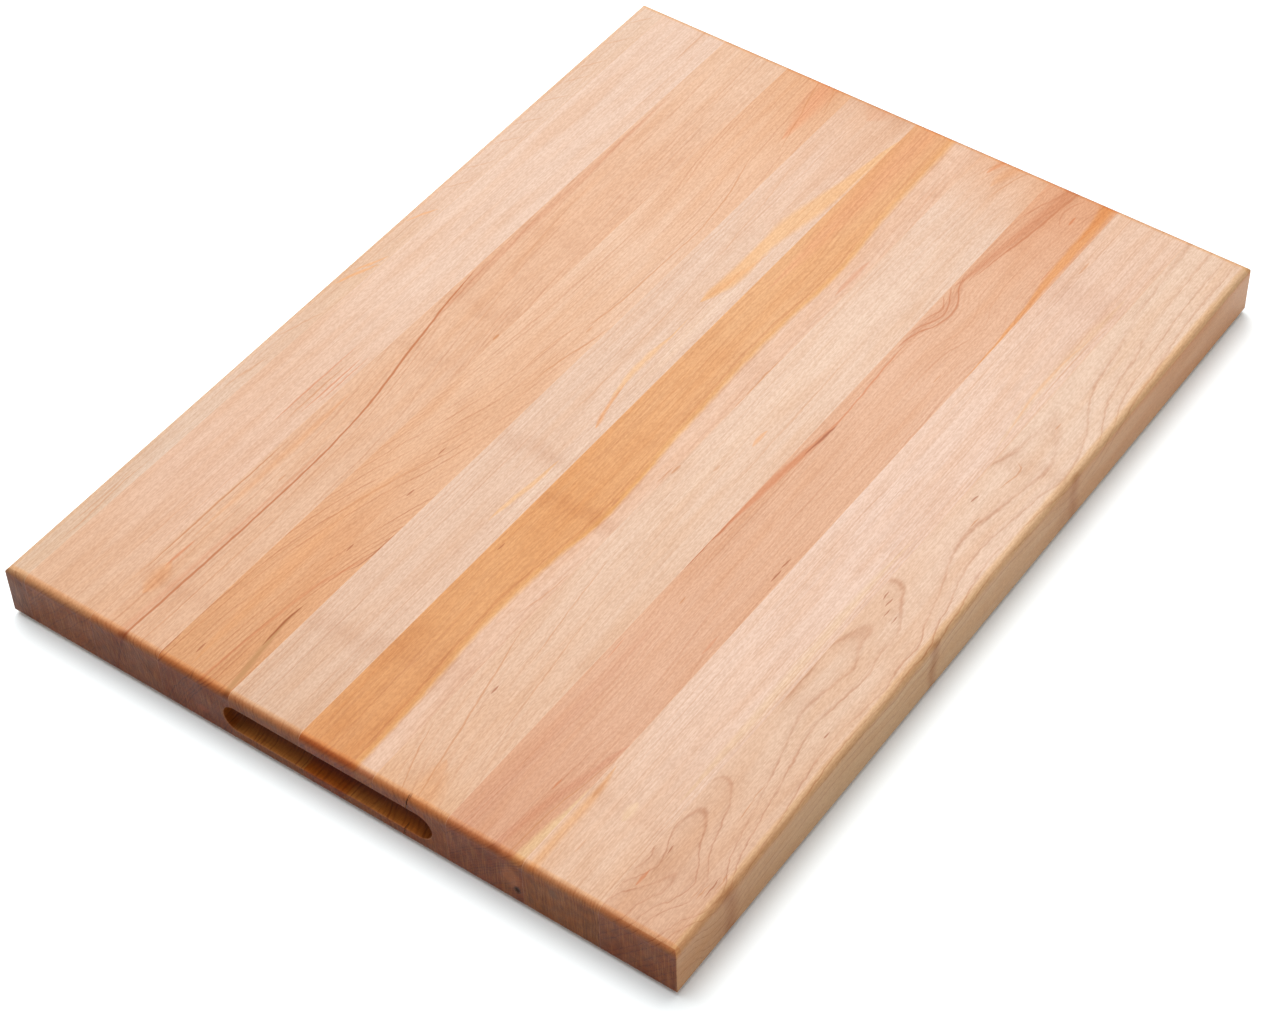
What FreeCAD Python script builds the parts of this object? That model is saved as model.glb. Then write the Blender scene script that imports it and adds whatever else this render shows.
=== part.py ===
import FreeCAD, Part
import os

# Edge-grain maple cutting board, in millimetres.
# +X runs along the staves, +Y across them, and +Z is up.
# The origin is in the middle of the underside, on the surface that the board rests on.

V = FreeCAD.Vector

# ---------------------------------------------------------------- the board
LENGTH = 609.6
THICKNESS = 38.1
EDGE_ROUND = 4.76        # quarter round along every edge of the top and the underside
CORNER_EASE = 1.0        # sanded radius on the four upright corners

# ---------------------------------------------------------------- the panel
# Stave widths halfway along the board, from the -Y side to the +Y side.
# The first and the last are what the saw left when it trimmed the panel.
STAVE_WIDTHS = [45.5, 48.8, 49.2, 48.6, 50.1, 48.7, 50.0, 48.9, 48.6, 17.45]
GLUE_FILM = 0.15         # cured glue between two staves
TRIM_SKEW = 0.49         # degrees between the joints and the trimmed long sides

# ---------------------------------------------------------------- the finger grips
GRIP_LENGTH = 143.0      # from end to end, along Y
CUTTER_RADIUS = 9.525    # round-nosed router bit, so each grip is twice this high
GRIP_DEPTH = 12.7        # from the end face to the deepest line of the cove
LIP_EASE = 0.8           # sanded radius around the mouth

# ---------------------------------------------------------------- worked out
WIDTH = sum(STAVE_WIDTHS) + GLUE_FILM * (len(STAVE_WIDTHS) - 1)
HALF_TURN = 180
FULL_TURN = 360
RUN_OUT = 5.0            # how far a cutting solid runs past what it cuts
MID_ARC = 0.5 ** 0.5     # cosine of 45 degrees: the middle of a quarter round
PARALLEL = 0.99          # least cosine between an edge and the axis that it runs along
X_AXIS = V(1, 0, 0)
Y_AXIS = V(0, 1, 0)
Z_AXIS = V(0, 0, 1)


def runs_along(edge, axis):
    """True where a straight edge is parallel to the axis."""
    return abs(edge.tangentAt(edge.FirstParameter).dot(axis)) > PARALLEL


def bar(axis, radius):
    """The blank as a square block, with its four edges along one axis rounded."""
    block = Part.makeBox(LENGTH, WIDTH, THICKNESS, V(-LENGTH / 2, -WIDTH / 2, 0))
    return block.makeFillet(radius, [e for e in block.Edges if runs_along(e, axis)])


def blank():
    """The panel's outside: the edge rounds of the four sides meet in mitres."""
    long_sides = bar(X_AXIS, EDGE_ROUND)
    short_sides = bar(Y_AXIS, EDGE_ROUND)
    corners = bar(Z_AXIS, CORNER_EASE)
    return long_sides.common(short_sides).common(corners)


def bit_outline():
    """Half the round-nosed bit's section, above the line that its axis follows.

    Here x is the depth into the end face. The bit flares at the mouth, which
    leaves the lip with its sanded radius.
    """
    outside = V(-RUN_OUT, 0, 0)
    flare_top = CUTTER_RADIUS + LIP_EASE
    flare_middle = LIP_EASE * (1 - MID_ARC)
    straight_end = GRIP_DEPTH - CUTTER_RADIUS
    nose_middle = CUTTER_RADIUS * MID_ARC
    return [
        Part.makeLine(outside, V(-RUN_OUT, 0, flare_top)),
        Part.makeLine(V(-RUN_OUT, 0, flare_top), V(0, 0, flare_top)),
        Part.Arc(V(0, 0, flare_top), V(flare_middle, 0, CUTTER_RADIUS + flare_middle),
                 V(LIP_EASE, 0, CUTTER_RADIUS)).toShape(),
        Part.makeLine(V(LIP_EASE, 0, CUTTER_RADIUS), V(straight_end, 0, CUTTER_RADIUS)),
        Part.Arc(V(straight_end, 0, CUTTER_RADIUS), V(straight_end + nose_middle, 0, nose_middle),
                 V(GRIP_DEPTH, 0, 0)).toShape(),
        Part.makeLine(V(GRIP_DEPTH, 0, 0), outside),
    ]


def grip_cut():
    """What the bit sweeps out in the -X end, from one end of the grip to the other."""
    half_section = Part.Face(Part.Wire(bit_outline()))
    travel = GRIP_LENGTH - 2 * CUTTER_RADIUS
    bit = half_section.revolve(V(0, 0, 0), X_AXIS, FULL_TURN)
    upper = half_section.extrude(V(0, travel, 0))
    lower = upper.rotated(V(0, 0, 0), X_AXIS, HALF_TURN)
    lower.translate(V(0, travel, 0))
    cut = bit.fuse([upper, lower, bit.translated(V(0, travel, 0))])
    cut.translate(V(-LENGTH / 2, -travel / 2, THICKNESS / 2))
    return cut


def board():
    """The finished panel as one shape, before it is parted along its joints."""
    cut = grip_cut()
    other_end = cut.rotated(V(0, 0, 0), Z_AXIS, HALF_TURN)
    return blank().cut([cut, other_end])


def between(y_low, y_high):
    """An upright slab in line with the joints, between two of their faces.

    It reaches well past both ends of the board, so the skew leaves no end short.
    """
    slab = Part.makeBox(2 * LENGTH, y_high - y_low, THICKNESS + 2 * RUN_OUT,
                        V(-LENGTH, y_low, -RUN_OUT))
    slab.rotate(V(0, 0, 0), Z_AXIS, -TRIM_SKEW)
    return slab


def export(piece, node):
    """Write one piece, which must be a single sound solid, as its own node."""
    solids = piece.removeSplitter().Solids
    assert len(solids) == 1 and solids[0].isValid(), node
    solids[0].exportStep("parts/" + node + ".step")
    box = solids[0].BoundBox
    print("%-14s %9.0f mm3   y %8.2f to %8.2f" % (node, solids[0].Volume, box.YMin, box.YMax))


def main():
    os.makedirs("parts", exist_ok=True)
    whole = board()
    joint_face = -WIDTH / 2
    last = len(STAVE_WIDTHS)
    for number, width in enumerate(STAVE_WIDTHS, start=1):
        y_low = joint_face if number > 1 else -WIDTH
        joint_face += width
        y_high = joint_face if number < last else WIDTH
        export(whole.common(between(y_low, y_high)), "stave_%02d" % number)
        if number < last:
            film = between(joint_face, joint_face + GLUE_FILM)
            export(whole.common(film), "glue_line_%02d" % number)
            joint_face += GLUE_FILM
    print("board %.1f x %.1f x %.1f mm" % (LENGTH, WIDTH, THICKNESS))


main()
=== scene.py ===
# %% [markdown]
# # A hard maple cutting board
# The board is a panel of ten edge-grain staves, glued side by side, with a quarter round along
# every edge and a finger grip routed into each end. The CAD model fixes its size, so the lesson
# starts by loading that as a frame. Everything made later is in metres, in the same frame: +X runs
# along the staves, +Y across them, and Z = 0 is the surface that the board rests on.

# %% Load the frame and keep its box
import bmesh
import bpy
import math
from mathutils import Matrix, Vector


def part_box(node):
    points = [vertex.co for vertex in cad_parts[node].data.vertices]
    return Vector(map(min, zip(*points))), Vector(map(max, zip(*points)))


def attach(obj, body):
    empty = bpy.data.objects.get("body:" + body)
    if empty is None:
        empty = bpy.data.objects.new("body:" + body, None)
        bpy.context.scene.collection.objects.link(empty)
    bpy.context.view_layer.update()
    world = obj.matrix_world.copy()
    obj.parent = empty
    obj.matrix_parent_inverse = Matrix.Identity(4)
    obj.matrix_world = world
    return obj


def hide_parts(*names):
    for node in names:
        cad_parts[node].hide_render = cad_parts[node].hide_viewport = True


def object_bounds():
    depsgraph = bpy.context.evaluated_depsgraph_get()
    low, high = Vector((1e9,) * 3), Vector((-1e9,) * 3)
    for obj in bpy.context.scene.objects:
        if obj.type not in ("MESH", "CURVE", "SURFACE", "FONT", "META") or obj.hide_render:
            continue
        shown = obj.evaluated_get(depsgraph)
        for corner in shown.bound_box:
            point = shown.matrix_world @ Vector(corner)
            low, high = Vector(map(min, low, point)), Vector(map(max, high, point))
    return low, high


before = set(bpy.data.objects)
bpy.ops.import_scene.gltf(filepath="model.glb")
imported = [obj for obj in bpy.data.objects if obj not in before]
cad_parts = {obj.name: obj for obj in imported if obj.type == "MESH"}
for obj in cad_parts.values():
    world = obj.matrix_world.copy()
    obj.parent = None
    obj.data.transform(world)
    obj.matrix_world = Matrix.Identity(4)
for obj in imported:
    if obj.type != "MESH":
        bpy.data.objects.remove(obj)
cad_low, cad_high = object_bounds()
scene = bpy.context.scene
MM = 0.001
LENGTH, WIDTH, THICKNESS = cad_high - cad_low
MIDDLE = (cad_low + cad_high) / 2
print("board %.1f x %.1f x %.1f mm" % (LENGTH / MM, WIDTH / MM, THICKNESS / MM))

# %% [markdown]
# ## The camera
# A long lens from a raised corner shows the top, the near end with its grip, and one long side.
# The direction is given as two angles, which are easier to change than a matrix, and a small roll.
# Standard colour management keeps pale wood as pale as its finish says.

# %% Place the camera
CAMERA_PLACE = Vector((-1.0127, -0.7556, 1.3253))
CAMERA_AZIMUTH = math.radians(-56.378)
CAMERA_ELEVATION = math.radians(47.384)
CAMERA_ROLL = math.radians(0.531)
SENSOR_WIDTH = 36.0
FOCAL_LENGTH = 88.14
LENS_SHIFT = -0.1133
NEAREST_SEEN = 0.05
FARTHEST_SEEN = 50.0

camera = bpy.data.objects.new("camera", bpy.data.cameras.new("camera"))
scene.collection.objects.link(camera)
scene.camera = camera
camera.data.sensor_width = SENSOR_WIDTH
camera.data.lens = FOCAL_LENGTH
camera.data.shift_x = LENS_SHIFT
camera.data.clip_start = NEAREST_SEEN
camera.data.clip_end = FARTHEST_SEEN
level = math.cos(CAMERA_ELEVATION)
towards = Vector((-math.sin(CAMERA_AZIMUTH) * level, math.cos(CAMERA_AZIMUTH) * level,
                  -math.sin(CAMERA_ELEVATION)))
aim = towards.to_track_quat("-Z", "Y").to_matrix().to_4x4()
camera.matrix_world = Matrix.Translation(CAMERA_PLACE) @ aim @ Matrix.Rotation(CAMERA_ROLL, 4, "Z")
scene.view_settings.view_transform = "Standard"
print("camera %.2f m from the board's middle" % (CAMERA_PLACE - MIDDLE).length)

# %% [markdown]
# ## The floor
# A board like this is usually shown on white paper. A curved backdrop would also do, but from this
# high up the floor fills the view, so a flat sheet is enough. It lies a hair below the board, so
# that the two don't fight for the same place.

# %% Mix a colour
def colour(red, green, blue):
    """A paint chart's 0 to 255 colour as the linear colour that shaders work in."""
    parts = [part / 255 for part in (red, green, blue)]
    linear = [part / 12.92 if part <= 0.04045 else ((part + 0.055) / 1.055) ** 2.4 for part in parts]
    return (*linear, 1.0)


print("middle grey is %.3f in linear light" % colour(128, 128, 128)[0])

# %% Lay the floor
FLOOR_REACH = 6.0
FLOOR_DROP = 0.2 * MM
PAPER_ROUGHNESS = 0.9

bm = bmesh.new()
bmesh.ops.create_grid(bm, x_segments=1, y_segments=1, size=FLOOR_REACH)
bmesh.ops.translate(bm, vec=(0, 0, cad_low.z - FLOOR_DROP), verts=bm.verts)
floor_mesh = bpy.data.meshes.new("floor")
bm.to_mesh(floor_mesh)
bm.free()
floor = bpy.data.objects.new("floor", floor_mesh)
scene.collection.objects.link(floor)
paper = bpy.data.materials.new("white_paper")
paper.use_nodes = True
paper_shader = paper.node_tree.nodes["Principled BSDF"]
paper_shader.inputs["Base Color"].default_value = colour(246, 251, 252)
paper_shader.inputs["Roughness"].default_value = PAPER_ROUGHNESS
floor_mesh.materials.append(paper)
print("floor %.1f mm under the board" % (FLOOR_DROP / MM))

# %% [markdown]
# ## The light
# One large square lamp overhead, a little behind the far end, lights the top, leaves the near end
# in shade and lays a soft shadow in front of it. Two smaller lamps would give two shadows. A pale
# world fills the rest.

# %% Hang the lamp and set the world
LAMP_PLACE = Vector((0.35, 0.6, 2.1))
LAMP_SIDE = 2.3
LAMP_POWER = 80.0
WORLD_STRENGTH = 0.52

lamp_data = bpy.data.lights.new("softbox", "AREA")
lamp_data.shape = "RECTANGLE"
lamp_data.size = LAMP_SIDE
lamp_data.size_y = LAMP_SIDE
lamp_data.energy = LAMP_POWER
lamp = bpy.data.objects.new("softbox", lamp_data)
scene.collection.objects.link(lamp)
lamp_aim = (MIDDLE - LAMP_PLACE).to_track_quat("-Z", "Y").to_matrix().to_4x4()
lamp.matrix_world = Matrix.Translation(LAMP_PLACE) @ lamp_aim
world = bpy.data.worlds.new("studio")
scene.world = world
world.use_nodes = True
world.node_tree.nodes["Background"].inputs["Color"].default_value = (1.0, 1.0, 1.0, 1.0)
world.node_tree.nodes["Background"].inputs["Strength"].default_value = WORLD_STRENGTH
print("lamp %.1f m up" % LAMP_PLACE.z)

# %% [markdown]
# ## The blank
# The panel leaves the shop with a quarter round along all eight long edges, run with a router, and
# its four upright corners barely sanded. Beveling the top and bottom edges of a block together
# makes the rounds meet in mitres, as the router leaves them. The upright corners are then taken off
# by keeping only what lies inside a second block, whose upright edges alone are rounded.

# %% A block, and edges that run one way
ALONG = Vector((1, 0, 0))
UP = Vector((0, 0, 1))
PARALLEL = 0.99


def runs_along(edge, axis):
    """True where an edge is parallel to the axis."""
    line = edge.verts[1].co - edge.verts[0].co
    return abs(line.normalized().dot(axis)) > PARALLEL


def block(taller=0.0):
    """A bmesh block with the board's size and place, or one that is taller."""
    bm = bmesh.new()
    bmesh.ops.create_cube(bm, size=1.0)
    bmesh.ops.scale(bm, vec=(LENGTH, WIDTH, THICKNESS + taller), verts=bm.verts)
    bmesh.ops.translate(bm, vec=MIDDLE, verts=bm.verts)
    return bm


print("block helpers ready")

# %% Round some edges, and turn a mesh into an object
def round_edges(bm, edges, radius, steps):
    """Round these edges with an arc of that radius."""
    bmesh.ops.bevel(bm, geom=edges, offset=radius, offset_type="OFFSET", affect="EDGES",
                    segments=steps, profile=0.5, material=-1, clamp_overlap=True)


def solid(bm, name):
    """Turn a bmesh into an object, with its faces outwards, and link it."""
    bmesh.ops.recalc_face_normals(bm, faces=bm.faces)
    mesh = bpy.data.meshes.new(name)
    bm.to_mesh(mesh)
    bm.free()
    made = bpy.data.objects.new(name, mesh)
    scene.collection.objects.link(made)
    return made


print("rounding helpers ready")

# %% Make the blank
EDGE_ROUND = 4.76 * MM
EDGE_STEPS = 10
CORNER_EASE = 1.0 * MM
CORNER_STEPS = 4
GUIDE_EXCESS = 4.0 * MM

bm = block()
round_edges(bm, [e for e in bm.edges if not runs_along(e, UP)], EDGE_ROUND, EDGE_STEPS)
blank = solid(bm, "blank")
bm = block(taller=GUIDE_EXCESS)
round_edges(bm, [e for e in bm.edges if runs_along(e, UP)], CORNER_EASE, CORNER_STEPS)
corner_guide = solid(bm, "corner_guide")
print("blank has %d faces" % len(blank.data.polygons))

# %% [markdown]
# ## The finger grips
# A round-nosed router bit cuts each grip in one pass along the end, so both ends of the grip are
# half circles and its bottom is a cove. The cutter here is what that bit sweeps out: half of the
# bit's outline is spun half a turn, pushed along, spun again and pushed back to where it began.
# The outline flares at the mouth, which leaves the lip with a sanded radius. A bevel round the
# mouth would do as well, but it is easier to get a clean lip from the cutter.

# %% Helpers that carry an outline on
def spin_last(bm, parts, centre, axis, angle, steps):
    """Spin the newest edges on, and return the last row of what they left."""
    made = bmesh.ops.spin(bm, geom=parts, cent=centre, axis=axis, angle=angle, steps=steps)
    return made["geom_last"]


def push_last(bm, parts, step):
    """Push the newest edges on in a straight line, and return the last row."""
    edges = [part for part in parts if isinstance(part, bmesh.types.BMEdge)]
    made = bmesh.ops.extrude_edge_only(bm, edges=edges)["geom"]
    moved = [part for part in made if isinstance(part, bmesh.types.BMVert)]
    bmesh.ops.translate(bm, vec=step, verts=moved)
    return [part for part in made if not isinstance(part, bmesh.types.BMFace)
            and (isinstance(part, bmesh.types.BMVert) or all(v in moved for v in part.verts))]


print("outline helpers ready")

# %% Draw the bit's outline
BIT_RADIUS = 9.525 * MM
GRIP_DEPTH = 12.7 * MM
LIP_EASE = 0.8 * MM
CLEARANCE = 5.0 * MM
NOSE_STEPS = 12
FLARE_STEPS = 5
QUARTER_TURN = math.pi / 2
HALF_TURN = math.pi


def bit_outline(bm, side):
    """Half the bit's outline above its axis: the round nose, the straight shank and the flare."""
    across = (0, 1, 0)
    nose = bm.verts.new((GRIP_DEPTH, side, 0))
    nose_centre = (GRIP_DEPTH - BIT_RADIUS, side, 0)
    parts = spin_last(bm, [nose], nose_centre, across, -QUARTER_TURN, NOSE_STEPS)
    shank = bm.verts.new((LIP_EASE, side, BIT_RADIUS))
    bm.edges.new((parts[0], shank))
    flare_centre = (LIP_EASE, side, BIT_RADIUS + LIP_EASE)
    parts = spin_last(bm, [shank], flare_centre, across, QUARTER_TURN, FLARE_STEPS)
    top = bm.verts.new((-CLEARANCE, side, BIT_RADIUS + LIP_EASE))
    bm.edges.new((parts[0], top))
    return list(bm.verts) + list(bm.edges)


print("bit %.2f mm wide, %.1f mm deep" % (2 * BIT_RADIUS / MM, GRIP_DEPTH / MM))

# %% Sweep the bit from one end of the grip to the other
GRIP_LENGTH = 143.0 * MM
TURN_STEPS = 20
WELD = 0.01 * MM
travel = GRIP_LENGTH - 2 * BIT_RADIUS


def grip_cutter(name, turned):
    """What the bit sweeps out in one end of the board."""
    bm = bmesh.new()
    parts = bit_outline(bm, travel / 2)
    parts = spin_last(bm, parts, (0, travel / 2, 0), ALONG, -HALF_TURN, TURN_STEPS)
    parts = push_last(bm, parts, (0, -travel, 0))
    parts = spin_last(bm, parts, (0, -travel / 2, 0), ALONG, -HALF_TURN, TURN_STEPS)
    push_last(bm, parts, (0, travel, 0))
    bmesh.ops.remove_doubles(bm, verts=bm.verts, dist=WELD)
    bmesh.ops.holes_fill(bm, edges=bm.edges, sides=0)
    bmesh.ops.translate(bm, vec=(cad_low.x, 0, MIDDLE.z), verts=bm.verts)
    bmesh.ops.rotate(bm, cent=(0, 0, 0), matrix=Matrix.Rotation(turned, 3, "Z"), verts=bm.verts)
    return solid(bm, name)


near_grip = grip_cutter("grip_cutter_near", 0.0)
far_grip = grip_cutter("grip_cutter_far", HALF_TURN)
print("each grip is %.0f mm long and %.2f mm high" % (GRIP_LENGTH / MM, 2 * BIT_RADIUS / MM))

# %% [markdown]
# ## Carving
# Each cutter works through a Boolean modifier. The exact solver is slower than the fast one, but it
# leaves a closed surface where faces touch, as they do at the corners. The carved mesh is read back
# and the cutters are thrown away, so nothing is left to be exported by mistake.

# %% Cut the corners and the grips
def carve(target, cuts):
    """Keep or take away what each cutter holds, and return the carved mesh."""
    for cutter, operation in cuts:
        cut = target.modifiers.new("cut", "BOOLEAN")
        cut.operation = operation
        cut.solver = "EXACT"
        cut.object = cutter
    sight = bpy.context.evaluated_depsgraph_get()
    mesh = bpy.data.meshes.new_from_object(target.evaluated_get(sight))
    target.modifiers.clear()
    for cutter, operation in cuts:
        bpy.data.objects.remove(cutter)
    return mesh


def measured(mesh):
    """The volume that a closed mesh holds, in cubic centimetres, and how many edges are open."""
    bm = bmesh.new()
    bm.from_mesh(mesh)
    volume = bm.calc_volume(signed=True) / MM ** 3 / 1000
    open_edges = sum(1 for e in bm.edges if not e.is_manifold)
    bm.free()
    return volume, open_edges


whole = carve(blank, [(corner_guide, "INTERSECT"), (near_grip, "DIFFERENCE"), (far_grip, "DIFFERENCE")])
bpy.data.objects.remove(blank)
print("carved board: %.1f cm3, %d open edges" % measured(whole))

# %% [markdown]
# ## Parting the panel into staves and glue films
# On the real panel the staves come first, but in mesh code it is neater to shape the whole panel
# and part it along the joints, because then every edge and the grips run through all the pieces
# without a step. The joints lean half a degree from the trimmed sides. Where they lie is read from
# the CAD model's own glue films.

# %% Find the joints
TRIM_SKEW = math.radians(0.49)
JOINT_NORMAL = Vector((math.sin(TRIM_SKEW), math.cos(TRIM_SKEW), 0))
FILMS = 9


def joint(number):
    """The middle of one glue film and half its thickness."""
    low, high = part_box("glue_line_%02d" % number)
    middle = (low + high) / 2
    film = (high.y - low.y - LENGTH * math.tan(TRIM_SKEW)) * math.cos(TRIM_SKEW)
    return Vector((0, middle.y, middle.z)), film / 2


joints = [joint(number) for number in range(1, FILMS + 1)]
print("glue films %.2f mm thick, at y = %s mm"
      % (2 * joints[0][1] / MM, ", ".join("%.1f" % (place.y / MM) for place, half in joints)))

# %% Part the panel
SAME_PLACE = 0.001 * MM


def part_off(mesh, faces, name):
    """Keep what lies behind each plane, and close the cut. faces holds (point, outward normal)."""
    bm = bmesh.new()
    bm.from_mesh(mesh)
    for point, outward in faces:
        everything = bm.verts[:] + bm.edges[:] + bm.faces[:]
        cut = bmesh.ops.bisect_plane(bm, geom=everything, dist=SAME_PLACE, plane_co=point,
                                     plane_no=outward, clear_outer=True)
        rim = [part for part in cut["geom_cut"] if isinstance(part, bmesh.types.BMEdge)]
        bmesh.ops.edgeloop_fill(bm, edges=rim)
    return solid(bm, name)


def joint_face(number, side):
    """A point on one face of a glue film: side is -1 for its low face and +1 for its high one."""
    place, half = joints[number - 1]
    return place + JOINT_NORMAL * half * side


staves = {}
films = {}
for number in range(1, FILMS + 2):
    faces = []
    if number > 1:
        faces.append((joint_face(number - 1, 1), -JOINT_NORMAL))
    if number <= FILMS:
        faces.append((joint_face(number, -1), JOINT_NORMAL))
    staves[number] = part_off(whole, faces, "maple_stave_%02d" % number)
for number in range(1, FILMS + 1):
    faces = [(joint_face(number, -1), -JOINT_NORMAL), (joint_face(number, 1), JOINT_NORMAL)]
    films[number] = part_off(whole, faces, "glue_film_%02d" % number)
print("parted into %d staves and %d films" % (len(staves), len(films)))

# %% [markdown]
# ## A crack in the end grain
# Maple dries from its ends, and a stave may open in a thin crack there. This board has one, above
# and below the grip. It could be painted, but it is cut into the geometry with a thin wedge,
# because a real hollow catches shade from every side.

# %% Cut the crack
CRACK_CUTS = 7
CRACK_OUTSIDE = -1.0 * MM
BENDS = [(0.25 * MM, 9), (0.12 * MM, 23)]     # how far the crack wanders, and how fast
BACK_WIDTH = 0.1                              # how open its back is, as a share of its mouth
TIP_WIDTH = 0.15                              # how open its tips are, as a share of its middle
TIP_CUT = 0.1


def crack_width(share):
    """How open the crack is, where share runs from 0 at its lower tip to 1 at its upper one."""
    return TIP_WIDTH + (1 - TIP_WIDTH) * math.sin(math.pi * (TIP_CUT + (1 - 2 * TIP_CUT) * share))


def crack_cutter(low, high, width, depth):
    """A thin wedge that wanders between two points (y, z) of the near end, in millimetres."""
    bm = bmesh.new()
    bmesh.ops.create_cube(bm, size=1.0)
    upright = [e for e in bm.edges if runs_along(e, UP)]
    bmesh.ops.subdivide_edges(bm, edges=upright, cuts=CRACK_CUTS, use_grid_fill=True)
    bottom = Vector((0, *low)) * MM
    top = Vector((0, *high)) * MM
    for vert in bm.verts:
        share = vert.co.z + 0.5
        inside = vert.co.x > 0
        spine = bottom.lerp(top, share)
        wander = sum(swing * math.sin(pace * share) for swing, pace in BENDS)
        opening = width * MM * crack_width(share) * (BACK_WIDTH if inside else 1.0)
        reach = depth * MM if inside else CRACK_OUTSIDE
        vert.co = Vector((cad_low.x + reach, spine.y + wander + vert.co.y * opening, spine.z))
    return solid(bm, "crack_cutter")


crack_above = crack_cutter((-54.9, 27.5), (-57.2, 39.0), width=0.6, depth=5.0)
crack_below = crack_cutter((-51.8, 3.5), (-53.6, 12.0), width=0.5, depth=4.0)
staves[4].data = carve(staves[4], [(crack_above, "DIFFERENCE"), (crack_below, "DIFFERENCE")])
print("cracked stave: %.1f cm3, %d open edges" % measured(staves[4].data))

# %% [markdown]
# ## The knot
# A small knot is a twig that the tree grew over. It is harder than the wood round it and dries
# more, so it sinks a little. A squashed ball, half in the end face, leaves a shallow dish.

# %% Sink the knot
KNOT_PLACE = (cad_low.x, -127.5 * MM, 13.0 * MM)
KNOT_RADIUS = 1.7 * MM
KNOT_DEPTH = 0.7 * MM
KNOT_HEIGHT = 1.25


def knot_cutter(place, radius, depth):
    """A shallow dish: a ball squashed along the grain, half in the end face."""
    bm = bmesh.new()
    bmesh.ops.create_icosphere(bm, subdivisions=3, radius=1.0)
    bmesh.ops.scale(bm, vec=(depth, radius, radius * KNOT_HEIGHT), verts=bm.verts)
    bmesh.ops.translate(bm, vec=place, verts=bm.verts)
    return solid(bm, "knot_cutter")


knot = knot_cutter(KNOT_PLACE, KNOT_RADIUS, KNOT_DEPTH)
staves[3].data = carve(staves[3], [(knot, "DIFFERENCE")])
print("knotty stave: %.1f cm3, %d open edges" % measured(staves[3].data))

# %% [markdown]
# ## Smooth rounds and flat faces
# Shading should be smooth round the edges and true on the flats. The cut faces are marked sharp,
# and a Weighted Normal modifier lets the large flat faces decide the direction at their rims.

# %% Shade the pieces
SHARP_ANGLE = math.radians(32)
FLAT_WEIGHT = 100


def finish_shading(piece):
    """Smooth shading that keeps the sharp edges and the flat faces."""
    piece.data.polygons.foreach_set("use_smooth", [True] * len(piece.data.polygons))
    piece.data.set_sharp_from_angle(angle=SHARP_ANGLE)
    weighted = piece.modifiers.new("flats_decide", "WEIGHTED_NORMAL")
    weighted.keep_sharp = True
    weighted.weight = FLAT_WEIGHT


pieces = [*staves.values(), *films.values()]
for piece in pieces:
    finish_shading(piece)
print("all pieces together: %.1f cm3" % sum(measured(piece.data)[0] for piece in pieces))

# %% [markdown]
# ## How maple gets its figure
# A tree is a stack of long cones, one for each year. A stave cuts through them, and each year shows
# as a line where dense late wood meets the pale wood of the next spring. So the finish is worked
# out in the solid: how far a point is from the tree's pith, in rings. The same figure then runs
# over the top, down the ends and into the grip without a seam, which a flat picture can't do.
# A few short functions add the nodes, so that each recipe below reads like a list of steps.

# %% Numbers: link or set, work out, fade
def feed(tree, socket, value):
    """Link a value that comes from a node, or set a plain one."""
    if isinstance(value, bpy.types.NodeSocket):
        tree.links.new(value, socket)
    else:
        socket.default_value = value


def calc(tree, step, *values):
    """One Math node."""
    node = tree.nodes.new("ShaderNodeMath")
    node.operation = step
    for socket, value in zip(node.inputs, values):
        feed(tree, socket, value)
    return node.outputs[0]


def fade(tree, value, start, end, low=0.0, high=1.0):
    """A smooth change from low to high, as value goes from start to end."""
    node = tree.nodes.new("ShaderNodeMapRange")
    node.interpolation_type = "SMOOTHSTEP"
    for socket, part in zip(node.inputs, (value, start, end, low, high)):
        feed(tree, socket, part)
    return node.outputs["Result"]


print("number helpers ready")

# %% Colours: mix and darken
def mix(tree, share, first, second, mode="MIX"):
    """Mix two colours: share is how much of the second shows."""
    node = tree.nodes.new("ShaderNodeMix")
    node.data_type = "RGBA"
    node.blend_type = mode
    feed(tree, node.inputs["Factor"], share)
    feed(tree, node.inputs[6], first)
    feed(tree, node.inputs[7], second)
    return node.outputs[2]


def darken(tree, share, base, tint):
    """Multiply the base colour by a tint: share is how far the tint works."""
    return mix(tree, share, base, tint, "MULTIPLY")


print("colour helpers ready")

# %% [markdown]
# ## Place and direction
# Object coordinates come in metres, and a finish is easier to think about in millimetres, so a
# Mapping node scales them. Every piece keeps its place on the board in its own mesh, so the same
# coordinates run through all the pieces. The Normal output tells an end from a face or a side.

# %% Where a point lies, and which way it faces
def board_place(tree):
    """A point's place on the board in millimetres, and how far it faces along each axis."""
    coords = tree.nodes.new("ShaderNodeTexCoord")
    scale = tree.nodes.new("ShaderNodeMapping")
    scale.inputs["Scale"].default_value = (1 / MM, 1 / MM, 1 / MM)
    feed(tree, scale.inputs["Vector"], coords.outputs["Object"])
    axes = tree.nodes.new("ShaderNodeSeparateXYZ")
    feed(tree, axes.inputs["Vector"], scale.outputs["Vector"])
    normal = tree.nodes.new("ShaderNodeSeparateXYZ")
    feed(tree, normal.inputs["Vector"], coords.outputs["Normal"])
    return {"place": scale.outputs["Vector"], "x": axes.outputs["X"], "y": axes.outputs["Y"],
            "z": axes.outputs["Z"], "facing": normal.outputs}


def size_of(tree, value):
    """A value without its sign."""
    return calc(tree, "ABSOLUTE", value)


print("coordinates are read in millimetres")
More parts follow.
